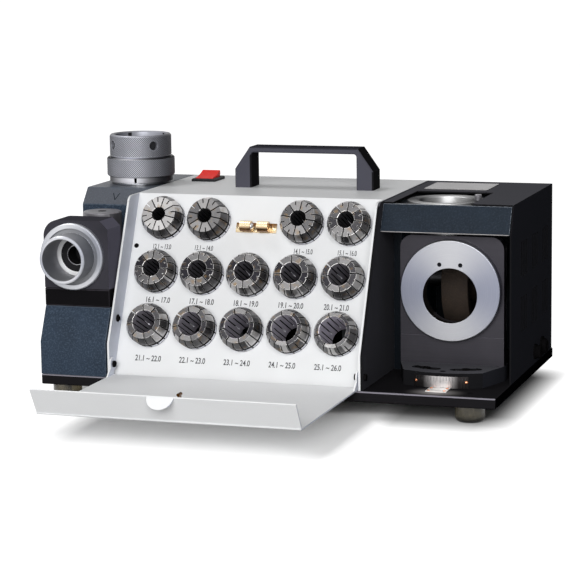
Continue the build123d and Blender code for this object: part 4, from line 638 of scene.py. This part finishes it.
# Marks on the faces, which the finishes read
def mark_collet(bm, size):
    """Tell bore, slits, groove, front face and cone apart, and give each lip a tone of painted reflection of
    its own.
    """
    bored, painted_shade, tone, body = face_marks(bm, "bored", "shaded", "tone", "upward")
    to_panel = PANEL.inverted()
    axis = sum((to_panel @ vert.co for vert in bm.verts), Vector()) / len(bm.verts)
    painted_face_reflection = FIRST_ROW_REFLECTION.get(size, OTHER_ROW_REFLECTION) + 0.04 * random.Random(size).random()
    for face in bm.faces:
        spot = to_panel @ face.calc_center_median()
        across = Vector((spot.x - axis.x, spot.y - axis.y, 0))
        facing = to_panel.to_3x3() @ face.normal
        outward = facing.dot(across.normalized())
        sector = round(math.degrees(math.atan2(across.y, across.x)) / LIP_DEGREES)
        own = random.Random(size * 100 + sector).random()
        face[body] = 0.0
        if across.length < (size / 2 + 0.25) * MM and outward < -0.7:
            face[bored] = 1.0
            # Bore: painted light, paler the wider the collet
            face[tone] = (size - 13) / 13
        elif GROOVE_LOW < spot.z < GROOVE_TOP or (abs(outward) < 0.5 and abs(facing.z) < 0.5):
            # Slits and groove: painted shade
            face[painted_shade] = 1.0
        elif spot.z < GROOVE_LOW:
            # Body behind the groove: a painted highlight
            face[body] = 1.0
        elif facing.z > 0.9:
            # Front face: painted reflection, brighter in the first row, with a painted sheen above and below
            face[tone] = painted_face_reflection + 0.14 * (own - 0.5) + LIP_SHEEN * across.normalized().y ** 4
        else:
            # Cone: a few sectors bright and the rest dark, as painted reflection
            face[tone] = 0.85 if own > 0.72 else 0.08 + 0.24 * own


def mark_tommy_holes(bm):
    """The tommy bar holes are blackened as painted shade, and the nut's upper faces get a lighter painted
    shade.
    """
    [painted_shade] = face_marks(bm, "shaded")
    low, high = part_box("chuck_nut")
    radius = (high.x - low.x) / 2
    for face in bm.faces:
        spot = face.calc_center_median() - Vector((chuck_axis.x, chuck_axis.y, 0))
        near = min(off_hole(spot, radius, angle, low.z + TOMMY_RISE) for angle in TOMMY_ANGLES)
        if near < TOMMY_R and TOMMY_BOTTOM < spot.xy.length < radius - 0.4 * MM:
            face[painted_shade] = 1.0
        elif face.normal.z > 0.3:
            face[painted_shade] = 0.45


def corner_reach(face, axis):
    """How far a face's corners lie from an axis that runs front to back, on average."""
    spots = [vert.co - axis for vert in face.verts]
    return sum(math.hypot(spot.x, spot.z) for spot in spots) / len(spots)


def mark_tube(bm):
    """The tube's walls and the dish round it get painted shade against its front faces, and its shoulder a
    painted highlight.
    """
    painted_shade, pale = face_marks(bm, "shaded", "tone")
    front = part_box("setting_flange")[0].y
    for face in bm.faces:
        reach = corner_reach(face, setting_axis)
        spot = face.calc_center_median()
        if abs(face.normal.y) < 0.5 and reach < TUBE_WALL_R:
            face[painted_shade] = 0.62
        elif face.normal.y < -0.5 and reach < SHOULDER_R and spot.y > front + SHOULDER_DEPTH:
            face[pale] = 1.0
        elif DISH_INNER_R < reach < DISH_OUTER_R and spot.y > front + DISH_DEPTH:
            face[painted_shade] = 0.6


def shade_bay(bm):
    """Painted shade darkens the casting inside the bay."""
    [bay_shade] = face_marks(bm, "shaded")
    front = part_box("right_casting")[0].y
    for face in bm.faces:
        if face.normal.y < -0.5 and face.calc_center_median().y > front + 15 * MM:
            face[bay_shade] = 0.85


def mark_vents(bm):
    """Behind the vents the cover gets no painted light on its right-facing faces, so the slots keep its
    plain dark paint.
    """
    [sideways] = face_marks(bm, "sideways")
    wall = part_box("right_cover")[1].x
    for face in bm.faces:
        if face.calc_center_median().x < wall - 0.5 * MM:
            face[sideways] = 0.0


def mark_notch(bm):
    """The index notch in the chuck's collar and the port below it is blackened as painted shade, and their
    outer upper faces get a lighter painted shade.
    """
    [painted_shade] = face_marks(bm, "shaded")
    for face in bm.faces:
        spot = face.calc_center_median() - chuck_axis
        if face.normal.z > 0.3 and spot.xy.length > NOTCH_FLOOR:
            face[painted_shade] = 0.5
        off = math.degrees(math.atan2(spot.y, spot.x)) + 90 - NOTCH_ANGLE
        if abs(off) < NOTCH_HALF and spot.xy.length > NOTCH_FLOOR and abs(face.normal.z) < 0.5:
            outward = Vector((spot.x, spot.y, 0)).normalized().dot(face.normal)
            face[painted_shade] = 1.0 if outward < 0.7 or spot.xy.length < NOTCH_FLOOR + NOTCH_RISE else 0.0


def mark_base_edge(bm):
    """The chamfer along the base's front is marked for a painted highlight."""
    [rubbed_and_lit_edge] = face_marks(bm, "edge")
    for face in bm.faces:
        face[rubbed_and_lit_edge] = float(face.normal.y < -0.3 and face.normal.z > 0.3)


def mark_ring_holes(bm):
    """Darken the small tapped holes between the ring's bore and its rim, as painted shade."""
    [painted_shade] = face_marks(bm, "shaded")
    walls = {face: corner_reach(face, web_axis) for face in bm.faces if abs(face.normal.y) < 0.9}
    bore, rim = min(walls.values()), max(walls.values())
    for face, reach in walls.items():
        if bore + 2 * MM < reach < rim - 2 * MM:
            face[painted_shade] = 1.0
    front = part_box("web_ring")[0].y
    for face in bm.faces:
        if face.normal.y < -0.9 and face.calc_center_median().y > front + 0.3 * MM:
            face[painted_shade] = 1.0


def on_pointer(point):
    return (point - POINTER).length < POINTER_REACH


def mark_pointer(bm):
    """Darken the pointer cut in the sloped front of the tower, as painted shade."""
    [painted_shade] = face_marks(bm, "shaded")
    slope = Vector((0, -math.cos(SLOPE), math.sin(SLOPE)))
    for face in bm.faces:
        spot = face.calc_center_median()
        if on_pointer(spot) and (spot - POINTER).dot(slope) < -POINTER_DEPTH:
            face[painted_shade] = 1.0


MARKERS = {
    "base_plate": mark_base_edge, "left_casting": mark_pointer, "left_port_ring": mark_notch,
    "chuck_body": mark_notch, "chuck_nut": mark_tommy_holes, "setting_flange": mark_tube,
    "right_cover": mark_vents, "right_casting": shade_bay, "web_ring": mark_ring_holes,
}


def dress_solids():
    """Give every solid its finish, and a copy with broken edges where a width is given."""
    for node, (finish, width) in dressed.items():
        if width:
            softened(node, finish, width)
        else:
            plain = frame["nodes"][node].data
            plain.materials.clear()
            plain.materials.append(finishes[finish])


# Knurling and the tommy bar holes of the chuck
def knurled_band(radius, low, high):
    """A band of small pyramids round the chuck's axis."""
    columns = 2 * round(math.pi * 2 * radius / KNURL_PITCH)
    rows = max(2, round((high - low) * 2 / KNURL_PITCH))
    bm = bmesh.new()
    shaded = bm.verts.layers.float.new("shaded")
    line = bm.edges.new([bm.verts.new((radius, 0, low)), bm.verts.new((radius, 0, high))])
    bmesh.ops.subdivide_edges(bm, edges=[line], cuts=rows - 1)
    bmesh.ops.spin(bm, geom=bm.verts[:] + bm.edges[:], cent=(0, 0, 0), axis=(0, 0, 1), angle=2 * math.pi,
                   steps=columns, use_merge=True)
    hollows = []
    for vert in bm.verts:
        column = round(math.atan2(vert.co.y, vert.co.x) / (2 * math.pi) * columns)
        row = round((vert.co.z - low) / (high - low) * rows)
        if (column + row) % 2:
            hollows.append(vert)
            vert[shaded] = 0.9
        elif 0 < row < rows:
            vert.co.xy *= 1 + KNURL_DEPTH / radius
    bmesh.ops.connect_verts(bm, verts=hollows)
    bmesh.ops.recalc_face_normals(bm, faces=bm.faces)
    return bm


def off_hole(point, radius, angle, height):
    """Distance of a point on the nut from a tommy bar hole's middle, over the surface."""
    turn = math.atan2(point.y, point.x) - angle
    turn = (turn + math.pi) % (2 * math.pi) - math.pi
    return math.hypot(turn * radius, point.z - height)


def chuck_knurls():
    """Knurled bands on collar and nut, and lips round the nut's tommy bar holes."""
    ring_low, ring_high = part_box("chuck_body")
    ring_r = (ring_high.x - ring_low.x) / 2
    nut_low, nut_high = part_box("chuck_nut")
    nut_r = (nut_high.x - nut_low.x) / 2
    place = Matrix.Translation((chuck_axis.x, chuck_axis.y, 0))
    top = nut_low.z - 0.2 * MM
    band = knurled_band(ring_r, top - 18.4 * MM, top - 1.0 * MM)
    bmesh.ops.transform(band, matrix=place, verts=band.verts)
    add_piece("chuck_ring_knurl", band, "chuck", "chuck_steel")
    band = knurled_band(nut_r, nut_low.z + 1.2 * MM, nut_high.z - 1.1 * MM)
    height = nut_low.z + TOMMY_RISE
    open_faces = [face for face in band.faces for angle in TOMMY_ANGLES
                  if off_hole(face.calc_center_median(), nut_r, angle, height) < TOMMY_CLEAR_R]
    bmesh.ops.delete(band, geom=open_faces, context="FACES")
    bmesh.ops.transform(band, matrix=place, verts=band.verts)
    add_piece("chuck_nut_knurl", band, "nut", "chuck_steel")
    rims = bmesh.new()
    shaded = rims.verts.layers.float.new("shaded")
    for angle in TOMMY_ANGLES:
        hole_rim(rims, nut_r, angle, height)
    for vert in rims.verts:
        vert[shaded] = 0.55
    bmesh.ops.transform(rims, matrix=place, verts=rims.verts)
    bmesh.ops.recalc_face_normals(rims, faces=rims.faces)
    add_piece("tommy_hole_rims", rims, "nut", "chuck_steel")


def hole_rim(bm, radius, angle, height):
    """Countersunk lip round a hole, wrapped on the nut's surface."""
    start = [bm.verts.new((reach * MM, 0, rise * MM)) for reach, rise in HOLE_RIM]
    edges = [bm.edges.new(pair) for pair in zip(start, start[1:])]
    bmesh.ops.spin(bm, geom=start + edges, cent=(0, 0, 0), axis=(0, 0, 1), angle=2 * math.pi, steps=40,
                   use_merge=True)
    rim = {vert for edge in edges for vert in edge.verts}
    grown = set(rim)
    while grown:
        grown = {other for vert in grown for edge in vert.link_edges for other in edge.verts} - rim
        rim |= grown
    for vert in rim:
        turn = angle + vert.co.x / radius
        reach = radius + vert.co.z
        vert.co = (reach * math.cos(turn), reach * math.sin(turn), height + vert.co.y)


# Small trim on the setting stop, and a painted highlight strip on the visor
def stop_bore_ring():
    """Bright bush round the bore of the setting stop."""
    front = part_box("setting_stop")[0].y
    ring = bmesh.new()
    line = [ring.verts.new((reach * MM, rise * MM, 0)) for reach, rise in STOP_BUSH]
    edges = [ring.edges.new(pair) for pair in zip(line, line[1:])]
    bmesh.ops.spin(ring, geom=line + edges, cent=(0, 0, 0), axis=(0, 1, 0), angle=2 * math.pi, steps=64,
                   use_merge=True)
    bmesh.ops.recalc_face_normals(ring, faces=ring.faces)
    place = Matrix.Translation((setting_axis.x, front, setting_axis.z))
    bmesh.ops.transform(ring, matrix=place, verts=ring.verts)
    add_piece("stop_bore_ring", ring, "main", "bright_steel")


def visor_edge_highlight():
    """A bright metal strip along the visor's lower front edge, as a painted highlight where the edge catches
    light.
    """
    corners = [vert.co for vert in frame["nodes"]["right_casting"].data.vertices]
    front = min(corner.y for corner in corners)
    forward = [corner for corner in corners if corner.y < front + 0.3 * MM]
    left = min(corner.x for corner in forward)
    right = max(corner.x for corner in forward)
    low = min(corner.z for corner in forward)
    thick = 0.8 * MM
    strip = bmesh.new()
    spot = Matrix.Translation(((left + right) / 2, front, low + thick / 2))
    size = Matrix.Diagonal((right - left - 1.2 * MM, thick, thick, 1))
    bmesh.ops.create_cube(strip, size=1.0, matrix=spot @ size)
    bmesh.ops.bevel(strip, geom=strip.edges[:], offset=0.12 * MM, offset_type="OFFSET", affect="EDGES",
                    segments=2, profile=0.5, material=-1)
    add_piece("visor_edge_highlight_strip", strip, "main", "bare_plate")


# Numbers under the collets
def flat_text(words, width, height):
    """Lettering laid flat round the origin, as a mesh of the given size."""
    curve = bpy.data.curves.new("number", "FONT")
    curve.body = words
    curve.resolution_u = 4
    curve.offset = 0.018
    holder = bpy.data.objects.new("number", curve)
    bpy.context.scene.collection.objects.link(holder)
    bpy.context.view_layer.update()
    mesh = bpy.data.meshes.new_from_object(holder.evaluated_get(bpy.context.evaluated_depsgraph_get()))
    bpy.data.objects.remove(holder)
    bpy.data.curves.remove(curve)
    low = Vector(min(vert.co[axis] for vert in mesh.vertices) for axis in range(3))
    high = Vector(max(vert.co[axis] for vert in mesh.vertices) for axis in range(3))
    fit = Matrix.Diagonal((width / (high.x - low.x), height / (high.y - low.y), 1, 1))
    mesh.transform(fit @ Matrix.Translation(-(low + high) / 2))
    return mesh


# Each row of numbers: its drop below the fold, the size of its words and their middles, in millimetres
NUMBER_ROWS = [(54.1, (18.6, 5.2), (-92.9, -49.5, 51.5, 95.3)),
               (107.6, (24.6, 5.8), [0.6 + 45.1 * column for column in range(-2, 3)]),
               (165.9, (26.5, 5.8), [-1.2 + 45.2 * column for column in range(-2, 3)])]


def size_numbers():
    """The drill sizes that each collet takes, in three rows."""
    numbers = bmesh.new()
    size = 12
    for drop, (width, height), middles in NUMBER_ROWS:
        for x in middles:
            mesh = flat_text(f"{size}.1 ~ {size + 1}.0", width * MM, height * MM)
            mesh.transform(PANEL @ Matrix.Translation((x * MM, -drop * MM, LABEL_LIFT)))
            numbers.from_mesh(mesh)
            bpy.data.meshes.remove(mesh)
            size += 1
    add_piece("size_numbers", numbers, "main", "printed_ink")


# Graduations on the swivel scale
def scale_marks():
    """Short marks on the strip's curve, with every fourth one longer."""
    low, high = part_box("scale_strip")
    pivot = Matrix.Translation((web_axis.x, low.y + SWIVEL_R, 0))
    top = high.z - 0.6 * MM
    marks = bmesh.new()
    for step in range(-8, 9):
        length = SHORT_MARK if step % 4 else LONG_MARK
        size = Matrix.Diagonal((0.28 * MM, 0.12 * MM, length, 1))
        spot = Matrix.Translation((0, -SWIVEL_R, top - length / 2))
        turn = Matrix.Rotation(step * GRADUATION, 4, "Z")
        bmesh.ops.create_cube(marks, size=1.0, matrix=pivot @ turn @ spot @ size)
    add_piece("scale_graduations", marks, "web_head", "printed_ink")


dress_solids()
chuck_knurls()
stop_bore_ring()
visor_edge_highlight()
size_numbers()
scale_marks()


# Studio: the camera, the light of room and paper, and the patches of floor where a painted shadow lies over
# the real one
CAMERA_ANGLES = (18.46, 9.53, -0.78)
CAMERA_AIM = Vector((3.38, 46.976, 104.26)) * MM
CAMERA_DISTANCE = 2.13
ROOM_LIGHT = 0.1
DIM_PAPER = (0.35, 0.35, 0.35, 1)
LIT_PAPER = (0.97, 0.97, 0.97, 1)
LID_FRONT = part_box("lid")[0].y + 14 * MM
# Painted shadow patches under the lid and the base: each side's place and fading margin
LID_SHADOW_PATCH = ((-0.17, 0.022), (0.13, 0.024), (LID_FRONT, 0.04), (0.1, 0.05))
BASE_SHADOW_PATCH = ((-0.23, 0.05), (0.243, 0.037), (-0.068, 0.076), (0.24, 0.05))
SWEEP_HALF = 6.0


def photo_camera():
    """The photograph's own view: turned round, raised and rolled by the three angles, in degrees."""
    azimuth, elevation, roll = (math.radians(angle) for angle in CAMERA_ANGLES)
    back = Vector((math.sin(azimuth) * math.cos(elevation), -math.cos(azimuth) * math.cos(elevation),
                   math.sin(elevation)))
    right = Vector((math.cos(azimuth), math.sin(azimuth), 0))
    level = Matrix((right, back.cross(right), back)).transposed()
    data = bpy.data.cameras.new("photo_camera")
    data.lens = 137.07
    data.sensor_width = 36
    data.clip_start = 0.1
    data.clip_end = 50
    camera = bpy.data.objects.new("photo_camera", data)
    turn = level @ Matrix.Rotation(roll, 3, "Z")
    camera.matrix_world = Matrix.Translation(CAMERA_AIM + back * CAMERA_DISTANCE) @ turn.to_4x4()
    bpy.context.scene.collection.objects.link(camera)
    bpy.context.scene.camera = camera


def soft_lamp(name, place, aim, width, height, watts):
    data = bpy.data.lights.new(name, "AREA")
    data.shape = "RECTANGLE"
    data.size = width
    data.size_y = height
    data.energy = watts
    lamp = bpy.data.objects.new(name, data)
    lamp.location = place
    lamp.rotation_euler = (Vector(aim) - Vector(place)).to_track_quat("-Z", "Y").to_euler()
    bpy.context.scene.collection.objects.link(lamp)


def dim_room():
    """White to the eye, to metal and to glass, and dim as a light."""
    world = bpy.data.worlds.new("dim_room")
    world.use_nodes = True
    nodes = world.node_tree.nodes
    links = world.node_tree.links
    path = nodes.new("ShaderNodeLightPath")
    strength = nodes.new("ShaderNodeMapRange")
    strength.inputs["To Min"].default_value = ROOM_LIGHT
    strength.inputs["To Max"].default_value = 1.0
    seen = path.outputs["Is Camera Ray"]
    for kind in ("Glossy", "Transmission"):
        most = nodes.new("ShaderNodeMath")
        most.operation = "MAXIMUM"
        links.new(seen, most.inputs[0])
        links.new(path.outputs[f"Is {kind} Ray"], most.inputs[1])
        seen = most.outputs[0]
    links.new(seen, strength.inputs["Value"])
    links.new(strength.outputs[0], nodes["Background"].inputs["Strength"])
    nodes["Background"].inputs["Color"].default_value = (1, 1, 1, 1)
    bpy.context.scene.world = world


def glowing_white(name, strength, paper=None):
    """White paper that camera, glossy and transmission rays see as bright as strength gives."""
    f = Finish(name, Roughness=0.9, Specular_IOR_Level=0.0, Base_Color=DIM_PAPER, Emission_Strength=1.0)
    if paper:
        f.colour(f.mix(paper(f), DIM_PAPER, LIT_PAPER))
    kinds = ("Camera", "Glossy", "Transmission")
    camera, glossy, glass = (f.node("ShaderNodeLightPath", output=f"Is {kind} Ray") for kind in kinds)
    seen = camera.maths("MAXIMUM", camera, glossy.maths("MAXIMUM", glossy, glass))
    f.feed(f.shader.inputs["Emission Color"], f.mix(seen * strength(f), (0, 0, 0, 1), (1, 1, 1, 1)))
    return f.material


def floor_patch(f, sides):
    """One inside a patch of the floor; left, right, front and back each have a place and a fading margin."""
    spot = f.node("ShaderNodeSeparateXYZ", None, {0: f.place()})
    x, y = (Sock(f, spot.socket.node.outputs[axis]) for axis in "XY")
    (left, left_fade), (right, right_fade), (front, front_fade), (back, back_fade) = sides
    across = (x - left).over(0, left_fade) * (right - x).over(0, right_fade)
    return across * (y - front).over(0, front_fade) * (back - y).over(0, back_fade)


def lid_shadow_patch(f):
    return floor_patch(f, LID_SHADOW_PATCH)


def floor_glow_with_painted_shadow(f):
    """Full white but for the ground under the lid and the base, where the glow is dimmed into a painted
    shadow over the real one.
    """
    clear = 1.0 - floor_patch(f, BASE_SHADOW_PATCH)
    return clear.maths("MINIMUM", clear * clear, 1.0 - 0.85 * lid_shadow_patch(f))


def sheet(name, place, material):
    bm = bmesh.new()
    bmesh.ops.create_grid(bm, x_segments=2, y_segments=2, size=SWEEP_HALF)
    bmesh.ops.transform(bm, matrix=place, verts=bm.verts)
    mesh = bpy.data.meshes.new(name)
    bm.to_mesh(mesh)
    bm.free()
    mesh.materials.append(material)
    made = bpy.data.objects.new(name, mesh)
    bpy.context.scene.collection.objects.link(made)


def white_sweep():
    """Pale floor with a white wall behind the machine."""
    sheet("pale_floor", Matrix.Identity(4), glowing_white("pale_floor", floor_glow_with_painted_shadow, lid_shadow_patch))
    wall = Matrix.Translation((0, 5.0, 3.0)) @ Matrix.Rotation(math.radians(90), 4, "X")
    sheet("white_wall", wall, glowing_white("white_wall", lambda f: 1.0))


photo_camera()
soft_lamp("front_softbox", (0.45, -2.8, 1.15), (0, 0.0, 0.1), 2.4, 1.6, 93)
soft_lamp("overhead_softbox", (-1.1, 0.05, 1.9), (0, 0.05, 0.05), 0.7, 0.7, 13)
dim_room()
white_sweep()
bpy.context.scene.view_settings.view_transform = "Standard"
